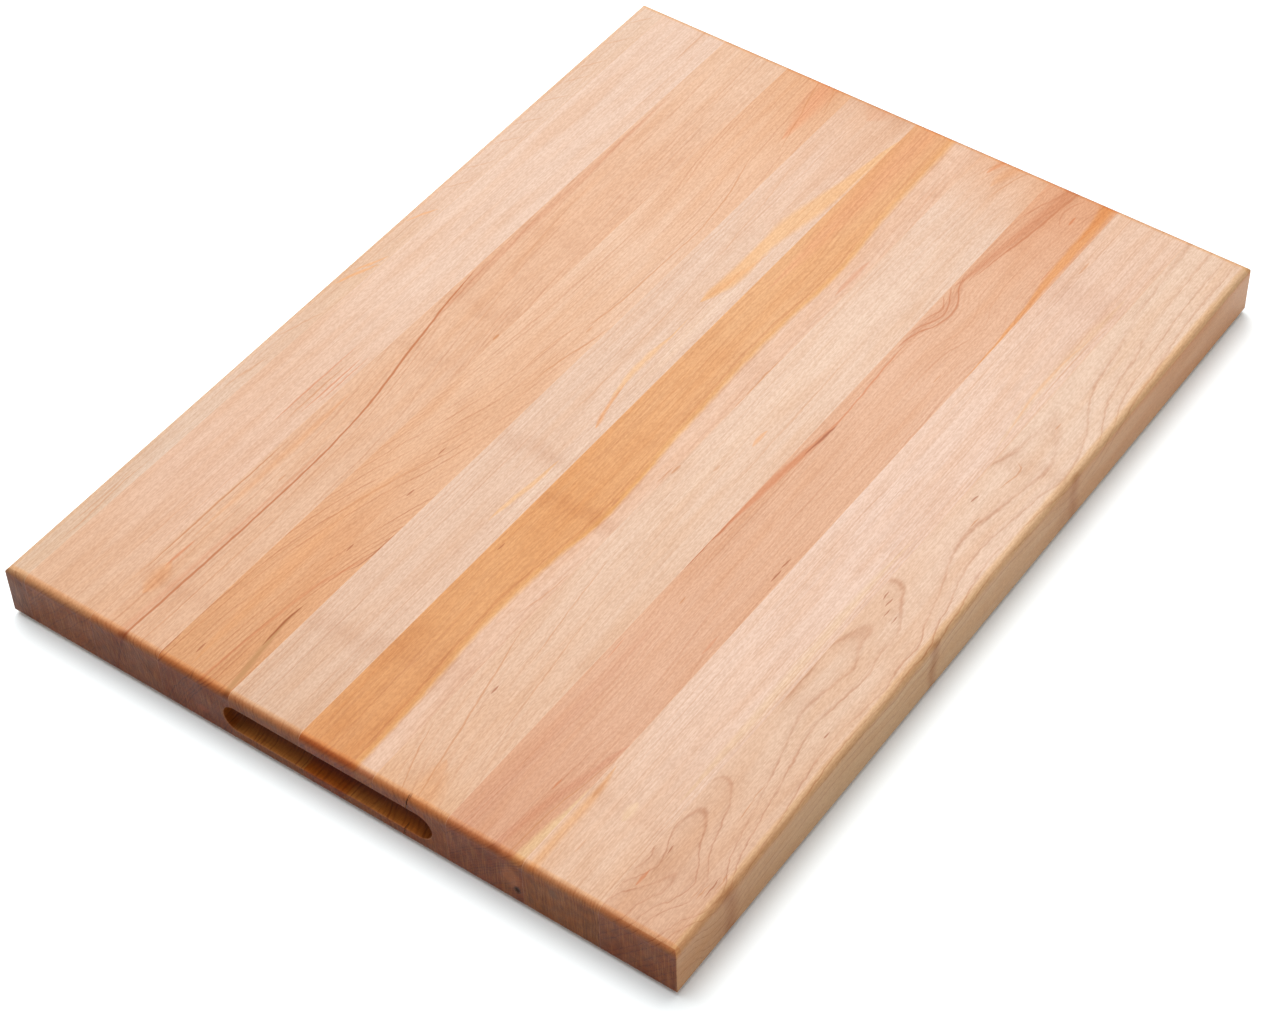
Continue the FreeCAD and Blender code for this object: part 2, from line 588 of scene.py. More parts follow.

# %% [markdown]
# ## Noise and drawn curves
# Two things vary a finish: chance and drawn curves. Chance is noise, stretched along the grain
# because fibres are long and thin. A drawn curve is a Float Curve node, which holds a few points and
# joins them smoothly, so a line can follow one special board.

# %% Noise and curves
SEED_STEP = (3.7, 5.3, 1.9)


def grain_noise(tree, place, size, seed, detail=2.0):
    """Cloudy noise whose blobs measure about size = (along, across, up) in millimetres."""
    shift = tree.nodes.new("ShaderNodeMapping")
    shift.inputs["Scale"].default_value = [1 / part for part in size]
    shift.inputs["Location"].default_value = [seed * step for step in SEED_STEP]
    feed(tree, shift.inputs["Vector"], place)
    node = tree.nodes.new("ShaderNodeTexNoise")
    node.inputs["Scale"].default_value = 1.0
    node.inputs["Detail"].default_value = detail
    feed(tree, node.inputs["Vector"], shift.outputs["Vector"])
    return node.outputs["Fac"]


def drawn(tree, x, points):
    """A drawn curve: points holds (x, height), and x is where to read it."""
    node = tree.nodes.new("ShaderNodeFloatCurve")
    node.mapping.use_clip = False
    line = node.mapping.curves[0]
    while len(line.points) < len(points):
        line.points.new(0.5, 0.5)
    for point, place in zip(line.points, points):
        point.location = place
    node.mapping.update()
    feed(tree, node.inputs["Value"], x)
    return node.outputs["Value"]


print("noise and curve helpers ready")

# %% [markdown]
# ## Strokes
# Streaks of heartwood, mineral lines and flecks don't follow the rings. A painted picture could
# show them, but it would stop at the edges of the top. So each is drawn as a brush
# stroke along the stave: a list of (x, y, half width) in millimetres from the board's middle, read
# by two hand-drawn curves, one for the middle of the stroke and one for its width. They are read
# from the strayed place, so a stroke wanders with the fibres around it.

# %% The stroke helper
THINNEST = 0.001
TIP_FADE = (0.5, 1.5)


def stroke(tree, where, base, points, tint, strength, soft=0.8):
    """Lay one stroke of a tint over the base colour. soft is how much of its width fades out."""
    centre = drawn(tree, where["x"], [(x, y) for x, y, half in points])
    half = drawn(tree, where["x"], [(x, half) for x, y, half in points])
    half = calc(tree, "MAXIMUM", half, THINNEST)
    off = size_of(tree, calc(tree, "SUBTRACT", where["strayed"], centre))
    cover = fade(tree, off, calc(tree, "MULTIPLY", half, 1 - soft), half, strength, 0.0)
    before, after = TIP_FADE
    first, last = points[0][0], points[-1][0]
    within = calc(tree, "MULTIPLY", fade(tree, where["x"], first - before, first + after),
                  fade(tree, where["x"], last - after, last + before, 1.0, 0.0))
    return mix(tree, calc(tree, "MULTIPLY", cover, within), base, tint)


print("stroke helper ready")

# %% [markdown]
# ## Shade across the grain
# Where the fibres bend, light sinks into them and a soft shade crosses the stave. A band is a
# place along the board and half a width. Its middle is moved by noise, so its edges wander.

# %% The band helper
WANDER_SIZE = (40, 16, 20)
WANDER_SHARE = 1.4
WANDER_SEEDS = 13


def band(tree, where, base, x, half, tint, strength, gate=1.0):
    """Shade that crosses the grain at x; gate says which faces it shows on."""
    wander = grain_noise(tree, where["place"], WANDER_SIZE, x % WANDER_SEEDS, 0.5)
    swing = WANDER_SHARE * half
    off = calc(tree, "ADD", where["x"], calc(tree, "MULTIPLY_ADD", wander, swing, -swing / 2 - x))
    cover = fade(tree, size_of(tree, off), 0.0, half, strength, 0.0)
    return darken(tree, calc(tree, "MULTIPLY", cover, gate), base, tint)


print("band helper ready")

# %% [markdown]
# ## Marks on the near end
# Round the knot the end grain holds dark, soft stains; beside the crack the same marks are painted
# shade, where the hollow keeps the light out. Each is an oval, given by its middle (y, z) and its
# half width and half height. It is kept to the last few millimetres of the near end, so that it
# doesn't run through the stave.

# %% The end mark helper
STAIN_AND_SHADE_CORE = 0.3
STAIN_AND_SHADE_REACH = (-299.0, -302.0)


def stain(tree, where, base, y, z, wide, high, tint, strength):
    """A soft oval mark on the end where the near grip is: a stain, except along the crack, where it is
    painted shade.
    """
    right = calc(tree, "DIVIDE", calc(tree, "SUBTRACT", where["y"], y), wide)
    above = calc(tree, "DIVIDE", calc(tree, "SUBTRACT", where["z"], z), high)
    square = calc(tree, "MULTIPLY_ADD", right, right, calc(tree, "MULTIPLY", above, above))
    cover = fade(tree, calc(tree, "SQRT", square), STAIN_AND_SHADE_CORE, 1.0, strength, 0.0)
    return mix(tree, calc(tree, "MULTIPLY", cover, fade(tree, where["x"], *STAIN_AND_SHADE_REACH)), base, tint)


print("end mark helper ready")

# %% [markdown]
# ## Oil
# The board is oiled, and oil makes bare wood darker and deeper. The tints below are bare wood, and
# one number deepens them all, so the whole board can be oiled more or less with one change.

# %% Oil the tints
OIL_DEPTH = 0.672


def oiled(red, green, blue):
    """A bare wood colour after oil has deepened it."""
    return (*[part * OIL_DEPTH for part in colour(red, green, blue)[:3]], 1.0)


print("oil leaves %.0f %% of the light" % (100 * OIL_DEPTH))

# %% [markdown]
# ## Layers of noise
# Wood is uneven at every scale: the stave sways over a hand's width, the fibres shiver over a
# finger's, and pores are finer than a hair. Each layer is the same noise at its own size. Listing
# them in one place makes it easy to see which scale is which, and to change one alone.

# %% The layers
# Each layer has a number for its seed, its size (along, across, up) in millimetres, and its detail.
LAYERS = {"sway": (0, (120, 22, 22), 1.0), "shiver": (1, (26, 6, 6), 2.0),
          "cloud": (2, (95, 10, 14), 3.0), "curl": (3, (8, 20, 40), 2.0),
          "curl_patches": (4, (130, 30, 60), 0.0), "fibre": (5, (38, 0.55, 0.55), 3.0),
          "line_patches": (6, (70, 9, 9), 1.0), "pores": (7, (5.5, 0.28, 0.28), 1.0),
          "thirst": (8, (60, 4.0, 4.0), 4.0), "ripple": (9, (8, 3, 3), 1.0),
          "uneven_years": (11, (2000, 14, 14), 1.0), "rays": (12, (400, 0.8, 14), 1.0),
          "mottle": (13, (2.6, 0.9, 0.9), 1.0)}
SHIVER_REACH = 0.8


def layer(tree, where, stave, name):
    """One layer of noise, from the stave's own seed."""
    number, size, detail = LAYERS[name]
    return grain_noise(tree, where["place"], size, stave["seed"] + number, detail)


def both_ways(tree, noise, reach):
    """Turn noise from 0 to 1 into a shift from -reach to +reach."""
    return calc(tree, "MULTIPLY_ADD", noise, 2 * reach, -reach)


def stray(tree, where, stave):
    """Where a point would lie across the stave, if the fibres ran straight."""
    sway = both_ways(tree, layer(tree, where, stave, "sway"), stave["sway"])
    shiver = both_ways(tree, layer(tree, where, stave, "shiver"), SHIVER_REACH)
    ripple = both_ways(tree, layer(tree, where, stave, "ripple"), stave["ripple"])
    sway = calc(tree, "ADD", calc(tree, "ADD", sway, shiver), ripple)
    lean = calc(tree, "MULTIPLY_ADD", where["z"], stave["lean"], -stave["lean"] * THICKNESS / MM)
    return calc(tree, "ADD", calc(tree, "ADD", where["y"], sway), lean)


print("%d layers of noise" % len(LAYERS))

# %% [markdown]
# ## Year lines
# Rings round a straight pith would do for plain wood. This board's flat-sawn stave shows cathedral
# arches, so the pith may wander sideways by a guide and rise or sink by a lift, both drawn along the
# board. The years come from the distance to the pith: evenly, with an uneven drift and a
# strength of its own for each year, or at the listed distances where the figure is well known.

# %% Distance to the pith
def pith_distance(tree, where, stave):
    """How far a point is from the tree's pith, in millimetres."""
    guide = drawn(tree, where["x"], stave["guide"])
    across = calc(tree, "SUBTRACT", calc(tree, "SUBTRACT", where["strayed"], guide),
                  stave["middle"] + stave["pith"][0])
    drop = calc(tree, "SUBTRACT", where["z"], stave["pith"][1])
    if "lift" in stave:
        drop = drawn(tree, where["x"], stave["lift"])
    square = calc(tree, "ADD", calc(tree, "MULTIPLY", across, across),
                  calc(tree, "MULTIPLY", drop, drop))
    return calc(tree, "SQRT", square)


print("pith helper ready")

# %% Years at listed distances
YEAR_EDGE = [(-2.0, 0.05), (-0.6, 0.3), (-0.1, 1.0), (0.4, 0.0)]


def listed_years(tree, radius, years):
    """Late wood just inside each of the listed distances."""
    points = [(0.0, 0.0)]
    for year in years:
        points += [(year + off, height) for off, height in YEAR_EDGE]
    return calc(tree, "MAXIMUM", drawn(tree, radius, points), 0.0)


print("listed years ready")

# %% Years that come evenly
YEAR_SHAPE = [(0.0, 0.0), (0.5, 0.1), (0.82, 1.0), (0.92, 0.8), (1.0, 0.0)]
YEAR_DRIFT = 1.6
YEAR_CONTRAST = 1.6
FAINTEST_YEAR = 0.25
YEAR_RANGE = 1.1


def even_years(tree, where, radius, stave):
    """Late wood every few millimetres, each year with its own strength."""
    drift = layer(tree, where, stave, "uneven_years")
    count = calc(tree, "MULTIPLY_ADD", drift, YEAR_DRIFT, calc(tree, "DIVIDE", radius, stave["ring"]))
    late = drawn(tree, calc(tree, "FRACT", count), YEAR_SHAPE)
    year = tree.nodes.new("ShaderNodeTexWhiteNoise")
    year.noise_dimensions = "1D"
    feed(tree, year.inputs["W"], calc(tree, "ADD", calc(tree, "FLOOR", count), stave["seed"] + 0.5))
    strong = calc(tree, "MULTIPLY_ADD", calc(tree, "POWER", year.outputs["Value"], YEAR_CONTRAST),
                  YEAR_RANGE, FAINTEST_YEAR)
    return calc(tree, "MULTIPLY", calc(tree, "MAXIMUM", late, 0.0), strong)


def year_lines(tree, where, stave):
    """0 between the years and 1 in the late wood."""
    radius = pith_distance(tree, where, stave)
    if "years" in stave:
        return listed_years(tree, radius, stave["years"])
    return even_years(tree, where, radius, stave)


print("year lines ready")

# %% [markdown]
# ## Where the end grain shows
# The ends of the fibres drink far more oil than their sides, so an end face is the darkest part of
# a board. Near the top edge the end grain is darkened less, which is painted light from above. The
# routed cove is painted darker still at its back and at its two ends: painted shade, where the lip
# and the ends of the cove keep the light out. Neither could be a material of its own, because both
# run into the faces without a line. So each is a cover between 0 and 1: the end grain from the
# direction that a point faces, the cove from its place.

# %% Cover of the end grain and of the cove
END_FACE = LENGTH / 2 / MM
COVE_BACK = END_FACE - GRIP_DEPTH / MM
COVE_SIDE = (BIT_RADIUS + LIP_EASE) / MM
COVE_END = (GRIP_LENGTH / 2 + LIP_EASE) / MM
BEHIND_COVE = (COVE_BACK - 4.1, COVE_BACK - 3.1)
AT_MOUTH = (END_FACE - 0.5, END_FACE - 0.1)
OVER_COVE = (COVE_SIDE - 0.225, COVE_SIDE + 0.075)
BESIDE_COVE = (COVE_END - 0.1, COVE_END + 0.5)
# Painted light: near the top edge the end grain is darkened less, as light from above would leave it.
END_TOP_LIGHT = (31.0, 37.5)
END_TOP_LIGHT_SHARE = 0.75


def routed_cover(tree, where):
    """1 in the cove and 0 outside it."""
    depth = size_of(tree, where["x"])
    height = size_of(tree, calc(tree, "SUBTRACT", where["z"], MIDDLE.z / MM))
    routed = calc(tree, "MULTIPLY", fade(tree, depth, *BEHIND_COVE), fade(tree, depth, *AT_MOUTH, 1.0, 0.0))
    routed = calc(tree, "MULTIPLY", routed, fade(tree, height, *OVER_COVE, 1.0, 0.0))
    reach = size_of(tree, where["y"])
    return calc(tree, "MULTIPLY", routed, fade(tree, reach, *BESIDE_COVE, 1.0, 0.0))


def end_cover(tree, where, routed):
    """How much bare end grain shows, outside the cove; less near the top edge, as painted light from above.
    """
    facing = calc(tree, "POWER", size_of(tree, where["facing"]["X"]), 2.0)
    end = calc(tree, "MULTIPLY", facing, fade(tree, where["z"], *END_TOP_LIGHT, 1.0, END_TOP_LIGHT_SHARE))
    return calc(tree, "MULTIPLY", end, calc(tree, "SUBTRACT", 1.0, routed))


print("the cove runs from %.1f to %.1f mm from the middle" % (COVE_BACK, END_FACE))

# %% Tint of the cove, with painted shade at its back and its ends
# Painted shade: the back of the cove is painted dark, where the lip keeps the light out.
COVE_BACK_SHADE = colour(112, 44, 10)
CLEAN_CUT = colour(244, 194, 114)
# Painted shade: the two ends of the cove are painted darker.
COVE_TIP_SHADE = colour(138, 84, 34)
COVE_SHADE_DEPTH = (COVE_BACK + 0.9, END_FACE - 0.8)
GRIP_TIP = GRIP_LENGTH / 2 / MM
TIP_SHADE_REACH = (GRIP_TIP - 15.5, GRIP_TIP - 1.5)
TIP_SHADE_STRENGTH = 0.75


def cove_tint_and_shade(tree, where):
    """Brown of the cove, with painted shade: darker towards the back, under the lip, and towards both ends.
    """
    depth = size_of(tree, where["x"])
    tint = mix(tree, fade(tree, depth, *COVE_SHADE_DEPTH), COVE_BACK_SHADE, CLEAN_CUT)
    tips = fade(tree, size_of(tree, where["y"]), *TIP_SHADE_REACH, 0.0, TIP_SHADE_STRENGTH)
    return mix(tree, tips, tint, COVE_TIP_SHADE)


print("cove tint ready")

# %% [markdown]
# ## The maple recipe
# One function makes every stave's material, from a few short ones that each lay one layer over
# the colour so far. What differs from stave to stave is its ground colour along the board, the
# guide that its year lines follow, where the pith was, and its strokes. The order is that of the
# real thing: ground and clouds first, then figure, year lines, strokes and pores, and last what
# oil and sanding did to the ends and the edges, with the painted light and shade on the ends, the
# cove and the sides.

# %% Ground and streaky zones
RAMP_LENGTH = 610


def lay_ground(tree, where, stave):
    """The stave's own colour along the board, with its zones and the shade that crosses it."""
    ground = tree.nodes.new("ShaderNodeValToRGB")
    feed(tree, ground.inputs["Fac"], calc(tree, "MULTIPLY_ADD", where["x"], 1 / RAMP_LENGTH, 0.5))
    ramp = ground.color_ramp
    while len(ramp.elements) < len(stave["ground"]):
        ramp.elements.new(0.5)
    for stop, (x, shade) in zip(ramp.elements, stave["ground"]):
        stop.position = x / RAMP_LENGTH + 0.5
        stop.color = oiled(*shade)
    base = ground.outputs["Color"]
    for points, tint, strength, soft in stave["zones"]:
        base = stroke(tree, where, base, points, tint, strength, soft)
    for x, half, tint, strength in stave["bands"]:
        base = band(tree, where, base, x, half, tint, strength)
    return base


print("ground layer ready")

# %% Clouds, curl, fibre and mottle
# A fade is (start, end, low, high): as the noise goes from start to end, the cover goes from low
# to high. A span is its first two only.
CLOUD_SHADE = colour(246, 228, 208)
CLOUD_FADE = (0.35, 0.75, 0.0, 0.45)
CURL_SHADE = colour(222, 196, 176)
CURL_SPAN = (0.45, 0.7)
CURL_STRENGTH = 0.28
CURL_PATCH_FADE = (0.4, 0.65, 0.15, 1.0)
FIBRE_SHADE = colour(215, 199, 185)
FIBRE_FADE = (0.3, 0.7, 0.0, 0.32)
MOTTLE_SHADE = colour(234, 229, 224)
MOTTLE_FADE = (0.36, 0.64, 0.0, 0.6)


def lay_figure(tree, where, stave, base, cloud, fibre):
    """The unevenness that every stave has, from the broad clouds down to the fine mottle."""
    base = darken(tree, fade(tree, cloud, *CLOUD_FADE), base, CLOUD_SHADE)
    curl = layer(tree, where, stave, "curl")
    curl = fade(tree, curl, *CURL_SPAN, 0.0, CURL_STRENGTH * stave["curl"])
    patches = fade(tree, layer(tree, where, stave, "curl_patches"), *CURL_PATCH_FADE)
    base = darken(tree, calc(tree, "MULTIPLY", curl, patches), base, CURL_SHADE)
    base = darken(tree, fade(tree, fibre, *FIBRE_FADE), base, FIBRE_SHADE)
    mottle = layer(tree, where, stave, "mottle")
    return darken(tree, fade(tree, mottle, *MOTTLE_FADE), base, MOTTLE_SHADE)


print("figure layers ready")

# %% Year lines, strokes and pores
LINE_STRENGTH = 0.62
LINE_PATCH_FADE = (0.3, 0.7, 0.35, 1.0)
PORE_FADE = (0.66, 0.74, 0.0, 0.30)
PORE_BROWN = colour(150, 100, 66)


def lay_lines(tree, where, stave, base, late, pores):
    """The year lines, which fade in patches, then the stave's own strokes and the pores."""
    patches = fade(tree, layer(tree, where, stave, "line_patches"), *LINE_PATCH_FADE)
    cover = calc(tree, "MULTIPLY", calc(tree, "MULTIPLY", late, patches), LINE_STRENGTH * stave["line"])
    cover = calc(tree, "MULTIPLY", cover, drawn(tree, where["x"], stave["line_along"]))
    base = darken(tree, cover, base, stave["line_tint"])
    for points, tint, strength, soft in stave["strokes"]:
        base = stroke(tree, where, base, points, tint, strength, soft)
    return mix(tree, pores, base, PORE_BROWN)


print("line layers ready")

# %% [markdown]
# ## Ends, edges and sides
# On an end every fibre is cut across, so oil soaks in unevenly, the years show as rings and the
# rays as short upright ticks. The edge above it is rounded through the fibres and stays warm and
# dark. The long sides are cut as the faces are; painted shade makes them a little darker and
# yellower than the top. One material for the whole stave, with a cover for each of these, keeps
# every change soft, as it is on the wood.

# %% Oil in the end grain
THIRST_SPAN = (0.3, 0.7)
THIRSTY_SHARE = 0.84
END_RING = colour(160, 120, 96)
RING_STRENGTH = 0.4
RAY_BROWN = colour(146, 88, 38)
RAY_FADE = (0.48, 0.68, 0.0, 0.3)


def lay_ends(tree, where, stave, base, late):
    """The dark end grain and the cove, the rings and rays that show there, and the end marks."""
    routed = routed_cover(tree, where)
    end = end_cover(tree, where, routed)
    thirst = fade(tree, layer(tree, where, stave, "thirst"), *THIRST_SPAN)
    thirsty = colour(*[int(THIRSTY_SHARE * part) for part in stave["end"]])
    base = darken(tree, end, base, mix(tree, thirst, colour(*stave["end"]), thirsty))
    base = darken(tree, routed, base, cove_tint_and_shade(tree, where))
    bare = calc(tree, "MAXIMUM", end, routed)
    ring = calc(tree, "MULTIPLY", calc(tree, "MULTIPLY", late, bare), RING_STRENGTH)
    base = darken(tree, ring, base, END_RING)
    rays = fade(tree, layer(tree, where, stave, "rays"), *RAY_FADE)
    base = mix(tree, calc(tree, "MULTIPLY", rays, bare), base, RAY_BROWN)
    for mark in stave["stains"]:
        base = stain(tree, where, base, *mark)
    return base


print("end grain layers ready")

# %% Oil on the rounded edges
SIDE_FACE = WIDTH / 2 / MM
ARRIS_FADE = (0.02, 0.25, 0.0, 0.6)
EDGE_WARMTH = colour(255, 236, 209)
RIM_START = 5.8
RIM_FULL = 3.8
RIM_HEIGHT = (29.5, 33.5)
SIDE_RIM = 0.4


def lay_edges(tree, where, stave, base):
    """The end arrises, which oil darkens, and a warm rim just round the top."""
    turned = calc(tree, "MULTIPLY", where["facing"]["X"], where["facing"]["Z"])
    arris = fade(tree, calc(tree, "MULTIPLY", turned, turned), *ARRIS_FADE)
    base = darken(tree, arris, base, colour(*stave["arris"]))
    by_end = fade(tree, size_of(tree, where["x"]), END_FACE - RIM_START, END_FACE - RIM_FULL)
    by_side = fade(tree, size_of(tree, where["y"]), SIDE_FACE - RIM_START, SIDE_FACE - RIM_FULL,
                   0.0, SIDE_RIM)
    by_top = fade(tree, where["z"], *RIM_HEIGHT)
    rim = calc(tree, "MULTIPLY", calc(tree, "MAXIMUM", by_end, by_side), by_top)
    return darken(tree, rim, base, EDGE_WARMTH)


print("edge layers ready")

# %% Tint and painted shade of the long sides
# Painted shade: faces that turn across the board are darkened and yellowed, as if less light reached them.
SIDE_TINT = colour(247, 234, 203)
SIDE_SPAN = (0.3, 0.95)
FAR_SIDE_TINT = colour(255, 230, 219)
FAR_SIDE_SPAN = (0.88, 1.0)
FAR_SIDE_REACH = (-100.0, 260.0)


def lay_sides(tree, where, stave, base):
    """Painted shade makes the long sides darker and yellower than the top; they are also warmer towards the
    far end.
    """
    sideways = size_of(tree, where["facing"]["Y"])
    side = fade(tree, sideways, *SIDE_SPAN)
    base = darken(tree, side, base, SIDE_TINT)
    far_side = calc(tree, "MULTIPLY", fade(tree, sideways, *FAR_SIDE_SPAN),
                    fade(tree, where["x"], *FAR_SIDE_REACH))
    base = darken(tree, far_side, base, FAR_SIDE_TINT)
    for x, half, tint, strength in stave["side_bands"]:
        base = band(tree, where, base, x, half, tint, strength, side)
    return base


print("side layers ready")

# %% [markdown]
# ## Gloss and relief
# Oiled maple is satin: more in some places than in others, because the wood drinks unevenly. Its
# fibres and late wood stand a few hundredths of a millimetre proud and the pores lie below. That
# is too fine for the mesh, so a Bump node bends the light instead.

# %% The surface itself
SATIN_FADE = (0.3, 0.7, 0.40, 0.52)
OILED_SPECULAR = 0.15
BUMP_STRENGTH = 0.5
GRAIN_RELIEF = 0.08 * MM
FIBRE_RISE = 0.5
LATE_RISE = 0.35
PORE_SINK = 2.0


def lay_surface(tree, shader, cloud, fibre, late, pores):
    """A satin oil finish: uneven gloss, and fibres and late wood that stand a little proud."""
    feed(tree, shader.inputs["Roughness"], fade(tree, cloud, *SATIN_FADE))
    shader.inputs["Specular IOR Level"].default_value = OILED_SPECULAR
    relief = calc(tree, "MULTIPLY_ADD", fibre, FIBRE_RISE, calc(tree, "MULTIPLY", late, LATE_RISE))
    relief = calc(tree, "SUBTRACT", relief, calc(tree, "MULTIPLY", pores, PORE_SINK))
    bump = tree.nodes.new("ShaderNodeBump")
    bump.inputs["Strength"].default_value = BUMP_STRENGTH
    bump.inputs["Distance"].default_value = GRAIN_RELIEF
    feed(tree, bump.inputs["Height"], relief)
    feed(tree, shader.inputs["Normal"], bump.outputs["Normal"])


print("surface layer ready")

# %% [markdown]
# ## One stave's maple
# With all the layers at hand, the recipe is a list of them. The clouds, the fibres, the year lines
# and the pores are made once, because both the colour and the surface read them.

# %% The recipe
def maple(name, stave):
    """A maple material for one stave."""
    made = bpy.data.materials.new(name)
    made.use_nodes = True
    tree = made.node_tree
    shader = tree.nodes["Principled BSDF"]
    where = board_place(tree)
    where["strayed"] = stray(tree, where, stave)
    cloud = layer(tree, where, stave, "cloud")
    fibre = layer(tree, where, stave, "fibre")
    late = year_lines(tree, where, stave)
    pores = fade(tree, layer(tree, where, stave, "pores"), *PORE_FADE)
    base = lay_ground(tree, where, stave)
    base = lay_figure(tree, where, stave, base, cloud, fibre)
    base = lay_lines(tree, where, stave, base, late, pores)
    base = lay_ends(tree, where, stave, base, late)
    base = lay_edges(tree, where, stave, base)
    base = lay_sides(tree, where, stave, base)
    feed(tree, shader.inputs["Base Color"], base)
    lay_surface(tree, shader, cloud, fibre, late, pores)
    return made


print("maple recipe ready")

# %% [markdown]
# ## Ten boards from ten trees
# No two staves match. The tints below are the maker's words for what maple does: cream sapwood,
# pink heartwood, honey where the light falls on a warm streak, and red-brown mineral lines.

# %% Tints
BROWN = oiled(198, 134, 86)
RED_BROWN = oiled(204, 122, 74)
DARK_BROWN = oiled(156, 78, 32)
HONEY = oiled(236, 172, 104)
ORANGE = oiled(234, 162, 96)
SALMON = oiled(236, 166, 124)
YELLOW = oiled(243, 194, 142)
STRAW = oiled(240, 204, 158)
ROSE = oiled(218, 156, 122)
SWIRL = oiled(194, 124, 84)
CREAM = oiled(245, 218, 196)
GREY_BROWN = oiled(186, 134, 84)
SOFT_LINE = colour(214, 174, 138)
DEEP_LINE = colour(200, 150, 110)
SHADE = colour(206, 164, 124)
print("tints ready")

# %% [markdown]
# ## What a stave's finish holds
# The finish is a plain dictionary, and most staves share most of it, so a function fills in the
# rest. The ground is a list of (x, bare wood colour). A zone or a stroke is (points, tint,
# strength, softness): zones lie under the year lines, strokes over them. A band is (x, half width,
# tint, strength). The pith is given from the middle of the stave's underside, and ring is the
# width of a year. A stave may list its own years, and its own lift. The end and the arris are how
# far oil darkens the end face and the rounded edge over it. The rest are a strength, or a reach in
# millimetres, for one layer each.

# %% Fill in a finish
SEED_STRIDE = 17
HALF_RAMP = RAMP_LENGTH / 2
finishes = {}


def stave_finish(number, ground, **other):
    """What most staves share, with what is this stave's own put over it."""
    low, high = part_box("stave_%02d" % number)
    skewed = HALF_RAMP * math.tan(TRIM_SKEW)
    finish = {"seed": number * SEED_STRIDE, "ground": ground,
              "zones": [], "strokes": [], "bands": [], "side_bands": [], "stains": [],
              "guide": [(-HALF_RAMP, skewed), (HALF_RAMP, -skewed)], "pith": (200.0, -100.0),
              "middle": (low.y + high.y) / 2 / MM, "ring": 3.2, "lean": 0.3,
              "line": 0.5, "line_tint": SOFT_LINE, "line_along": [(-HALF_RAMP, 1.0), (HALF_RAMP, 1.0)],
              "curl": 0.3, "sway": 1.5, "ripple": 0.4, "end": (158, 99, 30), "arris": (232, 190, 150)}
    finish.update(other)
    print("stave %d: %d zones and %d strokes" % (number, len(finish["zones"]), len(finish["strokes"])))
    finishes[number] = finish


def fleck(x, y, half=0.8, reach=4.0, tint=DARK_BROWN, strength=0.68):
    """A short dark dash in the grain."""
    return [(x - reach, y + 0.1, 0), (x, y, half), (x + reach, y - 0.1, 0)], tint, strength, 0.9


def dash(start, middle, end, half, tint, strength, soft=0.9):
    """A longer streak through three points (x, y), pointed at both ends and half wide between."""
    return [(*start, 0), (*middle, half), (*end, 0)], tint, strength, soft


print("finish helpers ready")

# %% [markdown]
# ## Stave 1
# The near outer stave was sawn flat to the rings, so they run as cathedral arches. Its years are
# listed one by one, because here the eye follows every line, and its guide and lift move the pith
# about, which bends the arches as knots and branches once did. Tiny flecks lie over them.

# %% Stave 1: cathedral figure, sawn flat to the rings
stave_finish(
    1, [(-305, (226, 179, 146)), (-150, (236, 201, 174)), (0, (240, 207, 183)), (130, (240, 210, 187)),
        (305, (240, 209, 185))],
    guide=[(-305, 1), (-289, -3), (-277, -10), (-266, -13), (-257, -11), (-247, -6), (-236, -3), (-200, 0),
           (-150, 0), (-128, -2), (-100, -4), (-85, -3), (-66, -5), (-50, -1), (-30, 0), (0, 0), (40, -4),
           (67, -8), (85, -13), (119, -10), (140, -2), (161, 4), (190, 6), (218, 9), (305, 8)],
    lift=[(-305, 4), (-223, 14), (-199, 19), (-175, 23.5), (-148, 27.6), (-113, 27.7), (-100, 27),
          (-85, 28.4), (-71, 29), (-55, 30.5), (-36, 33), (0, 39), (67, 39.6), (92, 40.5), (123, 42),
          (200, 44), (305, 46)],
    middle=0.0, pith=(-187.0, 0.0), years=[8, 14, 19, 29, 33.5, 42, 47, 52, 57, 62], lean=0.9,
    line=0.85, line_tint=DEEP_LINE, sway=1.2, ripple=1.3, curl=0.3,
    line_along=[(-305, 1.0), (0, 1.0), (140, 0.75), (305, 0.65)],
    zones=[
        ([(-306, -226, 3), (-150, -226, 3.5), (80, -226, 4.5), (306, -226, 3)], STRAW, 0.5, 1.0),
    ],
    bands=[(-262, 13, SHADE, 0.11), (82, 12, SHADE, 0.14)],
    side_bands=[(-255, 10, SHADE, 0.45), (-61, 7, SHADE, 0.54), (93, 9, SHADE, 0.48)],
    strokes=[
        dash((-283, -187), (-276, -187), (-269, -187.3), 1.4, RED_BROWN, 0.7),
        fleck(-254, -188.8), fleck(-46, -187.3), fleck(-49, -191.6, 1.0, 4.5), fleck(-56, -195.3),
        fleck(-58, -201, 0.6), fleck(-210, -207, 0.6, 8, BROWN), fleck(-198, -206, 0.6, 7, BROWN),
        fleck(-262, -220.4, 0.5, 9), fleck(-256, -222.4, 0.5, 8, BROWN), fleck(-266, -218.0, 0.4, 7, BROWN),
        fleck(-268, -215.6, 0.4, 6, BROWN, 0.6), fleck(-146, -213.5, 0.7, 3.5),
        fleck(44, -189.8, 0.8, 4), fleck(28, -199.4, 0.5, 6, BROWN), fleck(120, -200, 0.6, 4, BROWN),
        ([(56, -196, 0), (70, -199.4, 0.9), (80, -198.6, 0.9), (86, -194, 0.9), (85, -192, 0)],
         BROWN, 0.6, 0.9),
    ])
